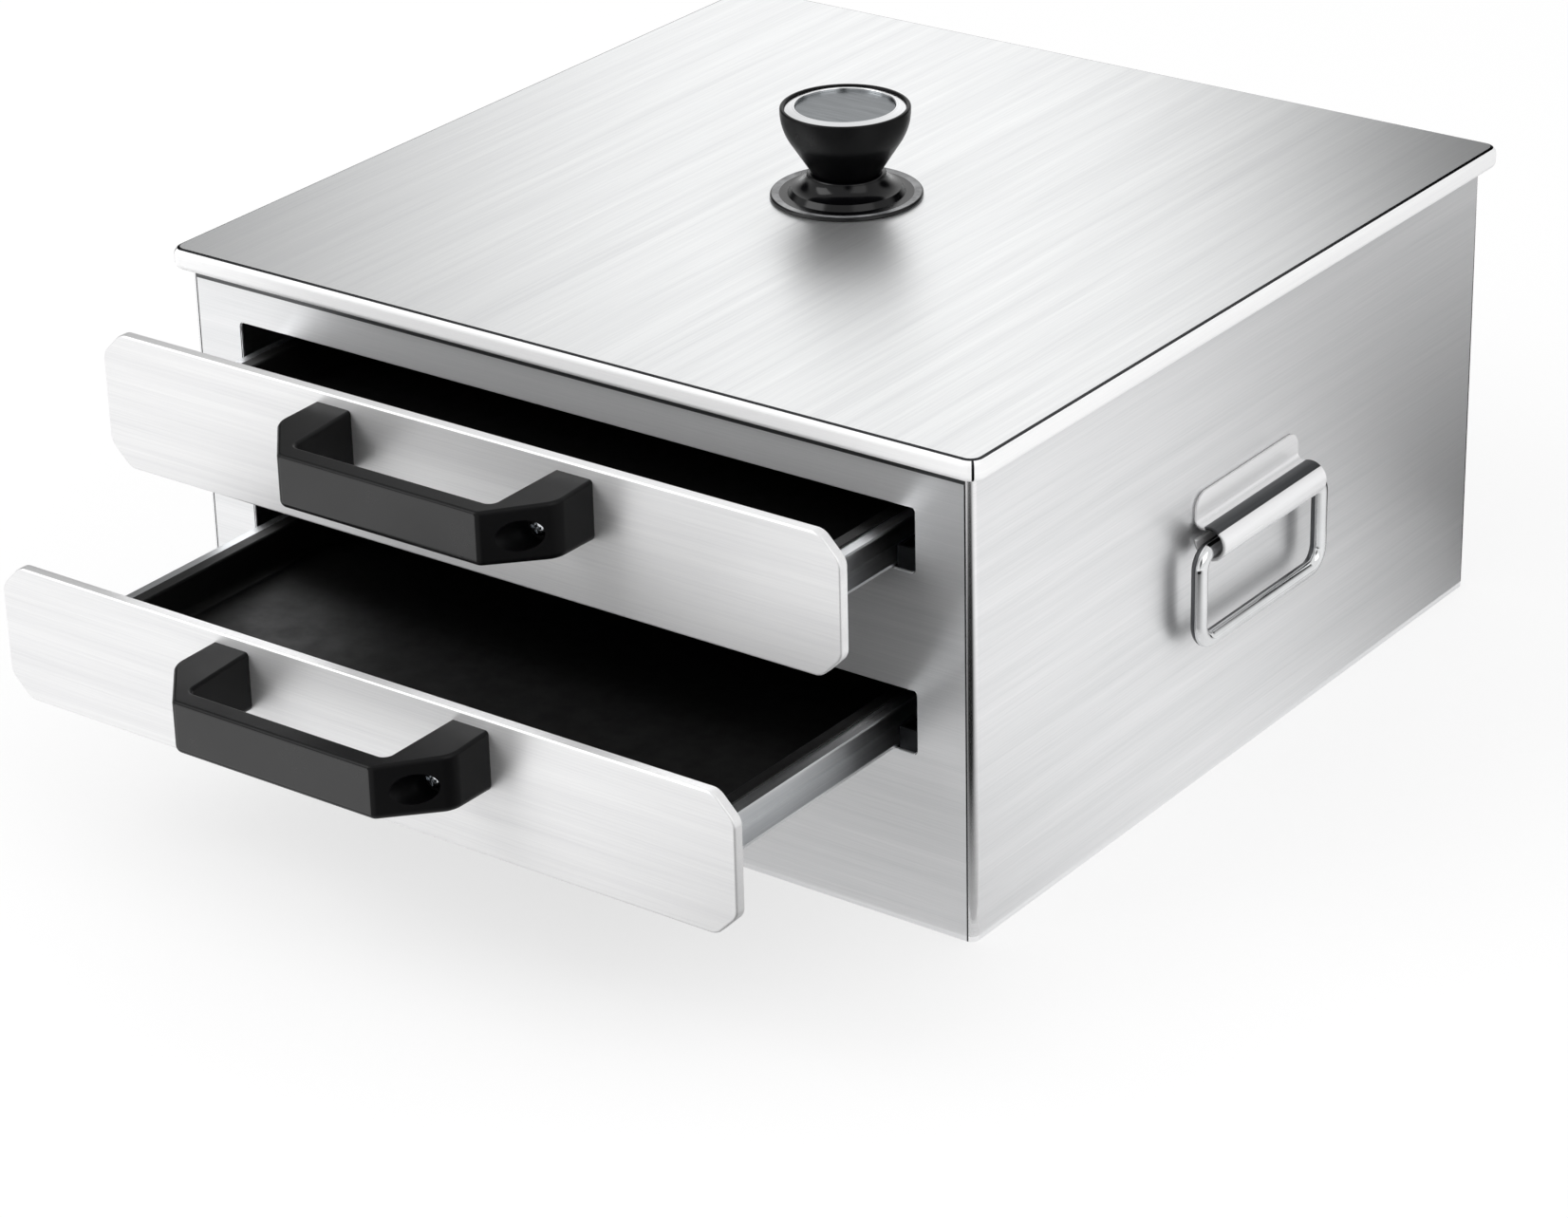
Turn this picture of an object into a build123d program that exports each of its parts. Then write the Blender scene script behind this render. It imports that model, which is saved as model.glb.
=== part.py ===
from build123d import *
import os
from math import acos, degrees, sqrt

os.makedirs("parts", exist_ok=True)

# A household rice noodle roll steamer: a stainless box that holds boiling water, a loose lid
# with a knob, two tray drawers in the front and a drop handle on each side.
# Millimetres. X to the right, Y to the back, Z up. The origin is the middle of the base, on
# the surface that the steamer stands on. Both drawers are drawn out part of the way.

# ---- Body: one wrapped sheet with a flat pan for the water ----
body_width = 343.0
body_depth = 343.0
body_height = 181.2
body_sheet = 1.0
body_bend = 3.0  # outside radius of the upright bends
hem_height = 9.0  # the top edge is folded down inside
hem_round = 0.9
base_sheet = 1.2
base_flange = 16.0
base_bend = 2.0
base_fit = 0.05  # gap between the pan's flange and the wall

# ---- Lid: a flat sheet whose edge is curled down and in ----
lid_sheet = 0.8
lid_seat_gap = 0.3  # above the body's hem
lid_edge_height = 8.2
lid_curl_reach = 3.1  # from the lip of the curl to its outermost face
lid_lip_gap = 2.4  # from the lip of the curl to the body's wall
lid_corner = 6.0

# ---- Knob: moulded base and grip, with a spun top ----
knob_flange_diameter = 57.0
knob_flange_edge = 1.6
knob_flange_crown = 4.2
knob_collar_diameter = 29.0
knob_collar_height = 9.4
knob_waist_diameter = 26.0
knob_grip_diameter = 48.4
knob_height = 35.0
knob_flare_height = 18.0  # of the grip's slanted side
knob_flare_round = 21.0
knob_rim_wall = 1.5
knob_ring_width = 4.0
knob_ring_depth = 1.5
knob_disc_sheet = 0.5
knob_round = 0.8
knob_fit = 0.05
knob_screw_diameter = 5.0
knob_screw_length = 23.0
knob_screw_head_diameter = 9.4
knob_screw_head_height = 3.0
knob_screw_fit = 0.05
knob_insert_diameter = 8.0
knob_insert_length = 13.0
knob_washer_diameter = 18.0
knob_washer_sheet = 1.0

# ---- Slots in the front wall ----
slot_side_gap = 3.5
slot_top_gap = 7.7
slot_sill_gap = 0.5  # under the drawer's channels
slot_corner = 1.5
slot_pitch = 67.6  # from the lower drawer to the upper one
slot_lip = 6.0  # the top and bottom edges of a slot are folded in

# ---- Drawer: two side channels, a rear bar and a pressed front ----
drawer_width = 280.0
drawer_length = 300.0
channel_height = 14.5
channel_lip = 9.0
channel_sheet = 1.0
channel_bend = 0.9
channel_tab = 14.0
panel_width = 321.0
panel_height = 51.5
panel_depth = 4.0
panel_sheet = 0.8
panel_chamfer = 8.6
panel_corner_round = 2.5
panel_edge_round = 0.7
panel_rise = 0.85  # of the front's middle above the slot's middle
panel_lid_gap = 2.1
panel_body_gap = 0.3  # when the drawer is shut
upper_draw = 54.4  # how far out each drawer stands
lower_draw = 113.7
full_draw = 230.0  # from shut to the end of a drawer's travel

# ---- Tray: a black pan that hangs on the channels by its rim ----
tray_sheet = 0.8
tray_depth = 13.0
tray_side_gap = 0.6
tray_draft = 8.7  # degrees that the walls lean
tray_corner = 9.0
tray_floor_round = 3.0
tray_rim = 5.0
tray_front_gap = 4.4

# ---- Runners inside the body ----
runner_sheet = 1.2
runner_shelf = 8.0
runner_fence = 8.0
runner_tab = 15.0
runner_gap = 0.3  # under the channels
runner_side_gap = 1.0

# ---- Drawer handle: a moulded bow with a straight grip ----
handle_width = 121.0
handle_front_width = 86.4
handle_reach = 39.5
handle_shoulder = 19.0
handle_shoulder_width = 122.0
handle_grip = 8.0
handle_foot = 16.0
handle_height = 22.5
handle_front_height = 20.0
handle_rise = 10.5  # above the middle of the drawer's front
handle_front_round = 3.0
handle_shoulder_round = 9.0
handle_inner_round = 3.0
handle_edge_round = 1.6
handle_recess_diameter = 9.0
handle_screw_seat = 12.0
handle_screw_diameter = 4.0
handle_screw_head_diameter = 7.6
handle_screw_head_height = 2.6
handle_screw_fit = 0.2
handle_screw_tip = 0.5
handle_nut_flats = 7.0
handle_nut_height = 2.2
handle_nut_fit = 0.05

# ---- Side handles: a strap rolled into a barrel, and a rod bail that swings in it ----
strap_length = 70.0
strap_sheet = 1.2
strap_top_z = 115.0
strap_corner = 6.0
strap_bend = 3.0
barrel_z = 98.0
barrel_diameter = 13.0
barrel_wall_gap = 0.4
barrel_sweep = 295.0
side_handle_y = 2.5
bail_rod_diameter = 6.0
bail_width = 83.0
bail_drop = 35.0
bail_top_round = 6.0
bail_bottom_round = 8.0
bail_play = 0.3  # under the rod, in the barrel

# ---- Heights and places that follow ----
lid_underside = body_height + lid_seat_gap
lid_top = lid_underside + lid_sheet
lid_rim_bottom = lid_top - lid_edge_height
lid_growth = 2 * (lid_lip_gap + lid_curl_reach)
lid_width = body_width + lid_growth
lid_depth = body_depth + lid_growth

slot_width = drawer_width + 2 * slot_side_gap
slot_height = slot_sill_gap + channel_height + tray_sheet + slot_top_gap
upper_panel_z = lid_rim_bottom - panel_lid_gap - panel_height / 2
upper_slot_z = upper_panel_z - panel_rise - slot_height / 2
drawer_drop = {"upper": 0.0, "lower": slot_pitch}
drawer_draw = {"upper": upper_draw, "lower": lower_draw}
slot_z = {name: upper_slot_z - drop for name, drop in drawer_drop.items()}
panel_z = {name: upper_panel_z - drop for name, drop in drawer_drop.items()}
channel_z = {name: z + slot_sill_gap for name, z in slot_z.items()}

wall_front_y = -body_depth / 2
shut_front_y = wall_front_y - panel_body_gap - panel_depth
front_y = {name: shut_front_y - draw for name, draw in drawer_draw.items()}

web_inner_x = drawer_width / 2 - channel_lip
fence_x = drawer_width / 2 + runner_side_gap
shelf_inner_x = fence_x - runner_shelf
handle_screw_x = (handle_width - handle_foot) / 2
barrel_x = body_width / 2 + barrel_wall_gap + barrel_diameter / 2
bail_z = barrel_z - (barrel_diameter / 2 - strap_sheet - bail_rod_diameter / 2 - bail_play)

SIDES = {"left": -1, "right": 1}


# ---- Shared shapes ----
def upright_block(width, depth, height, radius, z):
    """A block with rounded upright corners, standing on height z."""
    return Pos(0, 0, z) * extrude(RectangleRounded(width, depth, radius), height)


def block(x_span, y_span, z_span):
    """A plain block between two values of each axis."""
    spans = (x_span, y_span, z_span)
    middle = [(low + high) / 2 for low, high in spans]
    return Pos(*middle) * Box(*[high - low for low, high in spans])


def front_facing(y, z=0.0, x=0.0):
    """A plane that looks to the front: its own axes are X and Z."""
    return Plane(origin=(x, y, z), x_dir=(1, 0, 0), z_dir=(0, -1, 0))


def front_bore(diameter, x, y_span, z):
    """A round rod along Y."""
    low, high = y_span
    return extrude(front_facing(high, z, x) * Circle(diameter / 2), high - low)


def turned(points):
    """A solid of revolution about Z from an outline of radius and height."""
    return revolve(make_face(Plane.XZ * Polyline(*points, close=True)), Axis.Z)


def to_side(solid, side):
    """The right-hand piece, or its mirror image for the left."""
    return solid if side > 0 else mirror(solid, about=Plane.YZ)


# ---- Body ----
def body_shell():
    inner_width = body_width - 2 * body_sheet
    inner_depth = body_depth - 2 * body_sheet
    inner_bend = body_bend - body_sheet
    walls = upright_block(body_width, body_depth, body_height, body_bend, 0)
    walls -= upright_block(inner_width, inner_depth, body_height, inner_bend, 0)
    hem_z = body_height - hem_height
    hem = upright_block(inner_width, inner_depth, hem_height, inner_bend, hem_z)
    hem -= upright_block(
        inner_width - 2 * body_sheet, inner_depth - 2 * body_sheet, hem_height, inner_bend / 2, hem_z
    )
    shell = walls + hem
    shell = fillet(shell.faces().sort_by(Axis.Z)[-1].edges(), hem_round)
    inner_y = wall_front_y + body_sheet
    sill_x = shelf_inner_x - slot_corner
    head_x = slot_width / 2 - slot_corner
    for z in slot_z.values():
        outline = Pos(0, slot_height / 2) * RectangleRounded(slot_width, slot_height, slot_corner)
        shell -= extrude(front_facing(inner_y + body_sheet, z) * outline, 3 * body_sheet)
        lip_y = (wall_front_y, inner_y + slot_lip)
        sill = block((-sill_x, sill_x), lip_y, (z - body_sheet, z))
        head_z = z + slot_height
        head = block((-head_x, head_x), lip_y, (head_z, head_z + body_sheet))
        shell += sill + head
    return shell


def base_pan():
    width = body_width - 2 * (body_sheet + base_fit)
    depth = body_depth - 2 * (body_sheet + base_fit)
    radius = body_bend - body_sheet
    pan = upright_block(width, depth, base_flange, radius, 0)
    pan = fillet(pan.faces().sort_by(Axis.Z)[0].edges(), base_bend - base_sheet)
    hollow = upright_block(
        width - 2 * base_sheet, depth - 2 * base_sheet, base_flange, radius - base_sheet, base_sheet
    )
    return pan - hollow


def runner(z, side):
    """An angle that carries one side of a drawer from the front wall to the back wall."""
    front = wall_front_y + body_sheet
    back = -front
    shelf_z = z + slot_sill_gap - runner_gap
    height = (shelf_z - runner_sheet, shelf_z + runner_fence)
    outline = Polyline(
        (shelf_inner_x, height[0]),
        (fence_x + runner_sheet, height[0]),
        (fence_x + runner_sheet, height[1]),
        (fence_x, height[1]),
        (fence_x, shelf_z),
        (shelf_inner_x, shelf_z),
        close=True,
    )
    angle = extrude(front_facing(back) * make_face(outline), back - front)
    tab_x = (fence_x, fence_x + runner_tab)
    angle += block(tab_x, (front, front + runner_sheet), height)
    angle += block(tab_x, (back - runner_sheet, back), height)
    return to_side(angle, side)


# ---- Lid and knob ----
def lid_sheet_solid():
    """A flat sheet with a curled edge, open underneath where it drops over the body."""
    curl = lid_edge_height / 2 - 0.05
    outer = upright_block(lid_width, lid_depth, lid_edge_height, lid_corner, lid_rim_bottom)
    outer = fillet(outer.edges().filter_by(Axis.Z, reverse=True), curl)
    inner = upright_block(
        lid_width - 2 * lid_sheet,
        lid_depth - 2 * lid_sheet,
        lid_edge_height - 2 * lid_sheet,
        lid_corner - lid_sheet,
        lid_rim_bottom + lid_sheet,
    )
    inner = fillet(inner.edges().filter_by(Axis.Z, reverse=True), curl - lid_sheet)
    mouth = upright_block(
        lid_width - 2 * lid_curl_reach,
        lid_depth - 2 * lid_curl_reach,
        lid_edge_height / 2 + 1,
        body_bend,
        lid_rim_bottom - 1,
    )
    bore = Pos(0, 0, lid_top) * Cylinder(knob_screw_diameter / 2 + knob_screw_fit, 4 * lid_sheet)
    return outer - inner - mouth - bore


def knob_base():
    flange = knob_flange_diameter / 2
    collar = knob_collar_diameter / 2
    bore = knob_screw_diameter / 2 + knob_screw_fit
    solid = turned(
        [
            (bore, 0),
            (flange - knob_flange_edge / 2, 0),
            (flange, knob_flange_edge / 2),
            (flange - knob_flange_edge / 4, knob_flange_edge),
            (collar + 2 * knob_flange_edge, knob_flange_crown - knob_flange_edge / 2),
            (collar + knob_flange_edge / 2, knob_flange_crown),
            (collar, knob_flange_crown + knob_flange_edge),
            (collar, knob_collar_height - knob_flange_edge / 2),
            (collar - knob_flange_edge / 2, knob_collar_height),
            (bore, knob_collar_height),
        ]
    )
    return Pos(0, 0, lid_top) * solid


def knob_grip():
    """A flared cup on a waist, with a stepped seat for the ring and the disc."""
    waist = knob_waist_diameter / 2
    rim = knob_grip_diameter / 2
    seat = rim - knob_rim_wall
    seat_z = knob_height - knob_ring_depth
    insert_bore = knob_insert_diameter / 2 + knob_fit
    insert_top = knob_collar_height + knob_insert_length
    screw_bore = knob_screw_diameter / 2 + knob_screw_fit
    screw_end = knob_screw_length - knob_washer_sheet - lid_sheet + knob_rim_wall
    flare = FilletPolyline(
        (waist, knob_collar_height),
        (rim, knob_collar_height + knob_flare_height),
        (rim, knob_height - knob_round / 2),
        radius=knob_flare_round,
    )
    outline = flare + Polyline(
        (rim, knob_height - knob_round / 2),
        (rim - knob_round / 2, knob_height),
        (seat, knob_height),
        (seat, seat_z),
        (0, seat_z),
        (0, max(screw_end, insert_top)),
        (screw_bore, max(screw_end, insert_top)),
        (screw_bore, insert_top),
        (insert_bore, insert_top),
        (insert_bore, knob_collar_height),
        (waist, knob_collar_height),
    )
    return Pos(0, 0, lid_top) * revolve(make_face(Plane.XZ * outline), Axis.Z)


def knob_insert():
    bore = knob_screw_diameter / 2 + knob_screw_fit
    sleeve = Cylinder(knob_insert_diameter / 2, knob_insert_length) - Cylinder(
        bore, knob_insert_length
    )
    return Pos(0, 0, lid_top + knob_collar_height + knob_insert_length / 2) * sleeve


def knob_ring():
    outer = knob_grip_diameter / 2 - knob_rim_wall - knob_fit
    inner = outer - knob_ring_width
    solid = turned(
        [
            (inner, 0),
            (outer, 0),
            (outer, knob_ring_depth),
            (outer - knob_ring_width / 4, knob_ring_depth + knob_disc_sheet / 2),
            (inner, knob_ring_depth - knob_disc_sheet / 2),
        ]
    )
    return Pos(0, 0, lid_top + knob_height - knob_ring_depth) * solid


def knob_disc():
    radius = knob_grip_diameter / 2 - knob_rim_wall - knob_ring_width - 2 * knob_fit
    disc = Cylinder(radius, knob_disc_sheet)
    return Pos(0, 0, lid_top + knob_height - knob_ring_depth + knob_disc_sheet / 2) * disc


def knob_washer():
    bore = knob_screw_diameter / 2 + knob_screw_fit
    washer = Cylinder(knob_washer_diameter / 2, knob_washer_sheet) - Cylinder(bore, knob_washer_sheet)
    return Pos(0, 0, lid_underside - knob_washer_sheet / 2) * washer


def knob_screw():
    head = knob_screw_head_diameter / 2
    shank = knob_screw_diameter / 2
    solid = turned(
        [
            (0, -knob_screw_head_height),
            (head * 0.72, -knob_screw_head_height),
            (head * 0.94, -knob_screw_head_height * 0.68),
            (head, -knob_screw_head_height * 0.25),
            (head, 0),
            (shank, 0),
            (shank, knob_screw_length - knob_round),
            (shank - knob_round, knob_screw_length),
            (0, knob_screw_length),
        ]
    )
    return Pos(0, 0, lid_underside - knob_washer_sheet) * solid


# ---- Drawers ----
def channel_outline():
    """The C section of a channel: its web stands at 0 and its lips point outwards."""
    inner = channel_height - channel_sheet
    outline = make_face(
        Polyline(
            (0, 0),
            (channel_lip, 0),
            (channel_lip, channel_sheet),
            (channel_sheet, channel_sheet),
            (channel_sheet, inner),
            (channel_lip, inner),
            (channel_lip, channel_height),
            (0, channel_height),
            close=True,
        )
    )
    bends = outline.vertices().sort_by(Axis.X)[:2]
    return fillet(bends, channel_bend)


def side_channel(name, side):
    z = channel_z[name]
    start = front_y[name] + panel_sheet
    end = front_y[name] + drawer_length
    rail = extrude(front_facing(end, z, web_inner_x) * channel_outline(), end - start)
    tab_z = (z + channel_sheet, z + channel_height - channel_sheet)
    tab_x = (web_inner_x + channel_sheet, web_inner_x + channel_tab)
    rail += block(tab_x, (start, start + channel_sheet), tab_z)
    return to_side(rail, side)


def rear_bar(name):
    web_y = front_y[name] + drawer_length - channel_lip
    plane = Plane(origin=(-web_inner_x, web_y, channel_z[name]), x_dir=(0, 1, 0), z_dir=(1, 0, 0))
    return extrude(plane * channel_outline(), 2 * web_inner_x)


def front_panel(name):
    """A pressed pan with cut corners, open at the back, drilled for the handle's screws."""
    sketch = chamfer(Rectangle(panel_width, panel_height).vertices(), panel_chamfer)
    sketch = fillet(sketch.vertices(), panel_corner_round)
    plane = front_facing(front_y[name], panel_z[name])
    pan = extrude(plane * sketch, -panel_depth)
    pan = fillet(pan.faces().sort_by(Axis.Y)[0].edges(), panel_edge_round)
    pocket = offset(sketch, -panel_sheet)
    back = front_facing(front_y[name] + panel_depth, panel_z[name])
    pan -= extrude(back * pocket, panel_depth - panel_sheet)
    for x in (-handle_screw_x, handle_screw_x):
        bore = handle_screw_diameter + 2 * handle_screw_fit
        span = (front_y[name] - panel_sheet, front_y[name] + 2 * panel_sheet)
        pan -= front_bore(bore, x, span, panel_z[name] + handle_rise)
    return pan


def tray(name):
    """A tapered pan with rounded corners and a flat rim that lies on the channels."""
    rim_z = channel_z[name] + channel_height
    front = front_y[name] + panel_sheet + tray_front_gap
    rear = front_y[name] + drawer_length - channel_lip - tray_side_gap
    width = 2 * (web_inner_x - tray_side_gap)
    length = rear - front
    middle_y = (front + rear) / 2

    def tapered(shrink, top_z):
        mouth = RectangleRounded(width - 2 * shrink, length - 2 * shrink, tray_corner - shrink)
        solid = extrude(Pos(0, middle_y, top_z) * mouth, -tray_depth, taper=tray_draft)
        return fillet(solid.faces().sort_by(Axis.Z)[0].edges(), tray_floor_round - shrink)

    body = tapered(0, rim_z)
    rim = Pos(0, middle_y, rim_z) * extrude(
        RectangleRounded(width + 2 * tray_rim, length + tray_rim * 2, tray_corner + tray_rim), tray_sheet
    )
    front_trim = block(
        (-drawer_width, drawer_width),
        (front - 3 * tray_rim, front - tray_front_gap / 2),
        (rim_z - 1, rim_z + 2 * tray_sheet),
    )
    hollow = tapered(tray_sheet, rim_z + tray_sheet)
    return body + rim - front_trim - hollow


# ---- Drawer handle ----
def drawer_handle(name):
    """A bow seen from above: feet on the panel, slanted legs and a straight grip."""
    y = front_y[name]
    z = panel_z[name] + handle_rise
    base = handle_width / 2
    shoulder = handle_shoulder_width / 2
    front = handle_front_width / 2
    inner = base - handle_foot
    grip_y = y - handle_reach + handle_grip
    right = [
        (inner, y),
        (base, y),
        (shoulder, y - handle_shoulder),
        (front, y - handle_reach),
    ]
    left = [(-px, py) for px, py in reversed(right)]
    bow = make_face(Polyline(*right, *left, (-front, grip_y), (front, grip_y), close=True))

    def corners(x, at_y):
        return [
            v for v in bow.vertices() if abs(abs(v.X) - x) < 0.01 and abs(v.Y - at_y) < 0.01
        ]

    bow = fillet(corners(front, y - handle_reach), handle_front_round)
    bow = fillet(corners(shoulder, y - handle_shoulder), handle_shoulder_round)
    bow = fillet(corners(front, grip_y), handle_inner_round)
    solid = Pos(0, 0, z - handle_height / 2) * extrude(bow, handle_height)
    wedge = Polyline(
        (y, z - handle_height / 2),
        (y - handle_reach, z - handle_front_height / 2),
        (y - handle_reach, z + handle_front_height / 2),
        (y, z + handle_height / 2),
        close=True,
    )
    side_plane = Plane(origin=(-handle_width, 0, 0), x_dir=(0, 1, 0), z_dir=(1, 0, 0))
    solid &= extrude(side_plane * make_face(wedge), 2 * handle_width)
    faces = solid.faces().sort_by(Axis.Z)
    outline = faces[0].edges() + faces[-1].edges()
    outline = outline.filter_by(lambda e: e.center().Y < y - 0.1)
    solid = fillet(outline, handle_edge_round)
    seat_y = y - handle_screw_seat
    for x in (-handle_screw_x, handle_screw_x):
        bore = handle_screw_diameter + 2 * handle_screw_fit
        solid -= front_bore(bore, x, (seat_y - 1, y + 1), z)
        solid -= front_bore(handle_recess_diameter, x, (y - 2 * handle_reach, seat_y), z)
    return solid


def handle_screws(name):
    """Pan-head screws that pull the feet of a handle against the front."""
    seat_y = front_y[name] - handle_screw_seat
    tip_y = front_y[name] + panel_sheet + handle_nut_height + handle_screw_tip
    head = handle_screw_head_diameter / 2
    shank = handle_screw_diameter / 2
    length = tip_y - seat_y
    screw = turned(
        [
            (0, -handle_screw_head_height),
            (head * 0.7, -handle_screw_head_height),
            (head * 0.95, -handle_screw_head_height * 0.6),
            (head, 0),
            (shank, 0),
            (shank, length - handle_screw_tip),
            (shank - handle_screw_tip, length),
            (0, length),
        ]
    )
    z = panel_z[name] + handle_rise
    laid = Rot(-90, 0, 0) * screw
    return Compound(
        children=[Pos(x, seat_y, z) * laid for x in (-handle_screw_x, handle_screw_x)]
    )


def handle_nuts(name):
    """Thin hexagon nuts inside the hollow of the front."""
    y = front_y[name] + panel_sheet
    z = panel_z[name] + handle_rise
    hexagon = RegularPolygon(handle_nut_flats / 2, 6, major_radius=False)
    hexagon -= Circle(handle_screw_diameter / 2 + handle_nut_fit)
    nuts = [
        extrude(front_facing(y + handle_nut_height, z, x) * hexagon, handle_nut_height)
        for x in (-handle_screw_x, handle_screw_x)
    ]
    return Compound(children=nuts)


# ---- Side handles ----
def handle_strap(side):
    """A strap welded to the side wall, bent out over the rod and rolled into a barrel."""
    wall = body_width / 2
    roll = (barrel_diameter - strap_sheet) / 2
    bend_x = wall + strap_sheet / 2 + strap_bend
    bend_z = barrel_z + sqrt((strap_bend + roll) ** 2 - (bend_x - barrel_x) ** 2)
    join = degrees(acos((bend_x - barrel_x) / (strap_bend + roll)))
    path = Line((wall + strap_sheet / 2, strap_top_z), (wall + strap_sheet / 2, bend_z))
    path += CenterArc((bend_x, bend_z), strap_bend, 180, join)
    path += CenterArc((barrel_x, barrel_z), roll, join, -barrel_sweep)
    section = trace(path, strap_sheet)
    y = side_handle_y + strap_length / 2
    strap = extrude(front_facing(y) * section, strap_length)
    upper = strap.edges().filter_by(Axis.X).group_by(Axis.Z)[-1]
    strap = fillet(upper, strap_corner)
    return to_side(strap, side)


def handle_bail(side):
    """A closed ring of round rod that hangs from the barrel."""
    half = bail_width / 2
    top = bail_z
    bottom = bail_z - bail_drop
    y0, y1 = side_handle_y - half, side_handle_y + half
    corner_points = [(y0, bottom), (y0, top), (y1, top), (y1, bottom)]
    radii = [bail_bottom_round, bail_top_round, bail_top_round, bail_bottom_round]
    plane = Plane(origin=(barrel_x, 0, 0), x_dir=(0, 1, 0), z_dir=(1, 0, 0))
    ring = plane * FilletPolyline(*corner_points, radius=radii, close=True)
    start = ring @ 0
    tangent = ring % 0
    rod = sweep(Plane(origin=start, z_dir=tangent) * Circle(bail_rod_diameter / 2), path=ring)
    return to_side(rod, side)


# ---- Every node ----
parts = {
    "body_shell": body_shell(),
    "base_pan": base_pan(),
    "lid_sheet": lid_sheet_solid(),
    "knob_base": knob_base(),
    "knob_grip": knob_grip(),
    "knob_insert": knob_insert(),
    "knob_ring": knob_ring(),
    "knob_disc": knob_disc(),
    "knob_washer": knob_washer(),
    "knob_screw": knob_screw(),
}
for side_name, side_sign in SIDES.items():
    parts[f"{side_name}_handle_strap"] = handle_strap(side_sign)
    parts[f"{side_name}_handle_bail"] = handle_bail(side_sign)
for drawer in drawer_draw:
    for side_name, side_sign in SIDES.items():
        parts[f"{drawer}_{side_name}_runner"] = runner(slot_z[drawer], side_sign)
        parts[f"{drawer}_{side_name}_channel"] = side_channel(drawer, side_sign)
    parts[f"{drawer}_rear_bar"] = rear_bar(drawer)
    parts[f"{drawer}_front_panel"] = front_panel(drawer)
    parts[f"{drawer}_tray"] = tray(drawer)
    parts[f"{drawer}_handle"] = drawer_handle(drawer)
    parts[f"{drawer}_handle_screws"] = handle_screws(drawer)
    parts[f"{drawer}_handle_nuts"] = handle_nuts(drawer)

for node, solid in parts.items():
    export_step(solid, f"parts/{node}.step")

for drawer, draw in drawer_draw.items():
    print(f"{drawer} drawer: {draw:.1f} mm to shut, {full_draw - draw:.1f} mm to fully open")
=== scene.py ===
"""Dresses a household rice noodle roll steamer: brushed sheet, bakelite handles, coated trays."""

import logging
import math
from dataclasses import dataclass, field, replace
from enum import Enum
from typing import Callable, Iterable, Optional, Sequence, Union

import bmesh
import bpy
from bmesh.types import BMEdge, BMesh, BMFace, BMVert
from bpy.types import Material, MeshPolygon, Node, NodeSocket, NodeTree, Object
from mathutils import Matrix, Vector


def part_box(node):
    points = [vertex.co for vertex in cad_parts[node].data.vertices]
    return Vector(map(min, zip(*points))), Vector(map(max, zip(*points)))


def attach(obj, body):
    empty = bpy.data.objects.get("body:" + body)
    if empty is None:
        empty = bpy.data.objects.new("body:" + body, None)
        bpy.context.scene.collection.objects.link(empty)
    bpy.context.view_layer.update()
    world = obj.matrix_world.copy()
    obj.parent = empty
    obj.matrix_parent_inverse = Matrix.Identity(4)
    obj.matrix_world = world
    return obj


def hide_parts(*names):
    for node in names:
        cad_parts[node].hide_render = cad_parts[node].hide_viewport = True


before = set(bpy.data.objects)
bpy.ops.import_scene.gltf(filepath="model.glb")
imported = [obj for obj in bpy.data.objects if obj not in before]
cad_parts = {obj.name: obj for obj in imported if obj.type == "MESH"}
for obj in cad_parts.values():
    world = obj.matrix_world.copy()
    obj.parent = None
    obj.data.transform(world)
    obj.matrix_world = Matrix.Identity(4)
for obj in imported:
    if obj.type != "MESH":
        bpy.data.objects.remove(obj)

logging.basicConfig(level=logging.INFO, format="%(message)s")
LOG = logging.getLogger("steamer")

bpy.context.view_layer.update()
MM = 0.001  # metres in a millimetre: pieces are modelled in millimetres and scaled once
PER_METRE = 1000.0  # turns a size in millimetres into a texture scale
MERGE = 0.001  # millimetres: points as close as this are one
NEAR = 0.01  # millimetres: places as close as this count as the same
FACING = 0.9  # the part of an axis in a normal, past which a face looks along that axis
QUARTER = math.radians(90.0)
SMOOTH_LIMIT = math.radians(38.0)
NOISE_SPAN = (0.3, 0.7)  # nearly all values of a noise lie between these

Point = tuple[float, float]
NodeInput = Union[NodeSocket, float, Sequence[float]]


# ---------------------------------------------------------------------------------------------
# Places
# ---------------------------------------------------------------------------------------------


@dataclass(frozen=True)
class Span:
    """The box of a CAD node, in millimetres."""

    low: Vector
    high: Vector

    @property
    def size(self) -> Vector:
        """The box's width, depth and height."""
        return self.high - self.low

    @property
    def centre(self) -> Vector:
        """The box's middle."""
        return (self.low + self.high) / 2


def span_of(node: str) -> Span:
    """Measures a CAD node.

    Args:
        node: The node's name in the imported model.

    Returns:
        The node's box at rest, in millimetres.
    """
    low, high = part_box(node)
    return Span(low / MM, high / MM)


class Side(Enum):
    """The two ends of the box."""

    LEFT = -1
    RIGHT = 1

    @property
    def word(self) -> str:
        """The side's name in the nodes' names."""
        return self.name.lower()


class Row(Enum):
    """The two drawers."""

    UPPER = "upper"
    LOWER = "lower"


# ---------------------------------------------------------------------------------------------
# Mesh tools
# ---------------------------------------------------------------------------------------------


def arc(centre: Point, radius: float, start: float, end: float, steps: int) -> list[Point]:
    """Points on an arc of an outline.

    Args:
        centre: The arc's centre.
        radius: The arc's radius.
        start: The angle of the first point, in degrees.
        end: The angle of the last point, in degrees.
        steps: How many equal steps the arc has.

    Returns:
        The points from start to end, both included.
    """
    angles = [math.radians(start + (end - start) * i / steps) for i in range(steps + 1)]
    return [(centre[0] + radius * math.cos(a), centre[1] + radius * math.sin(a)) for a in angles]


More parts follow.
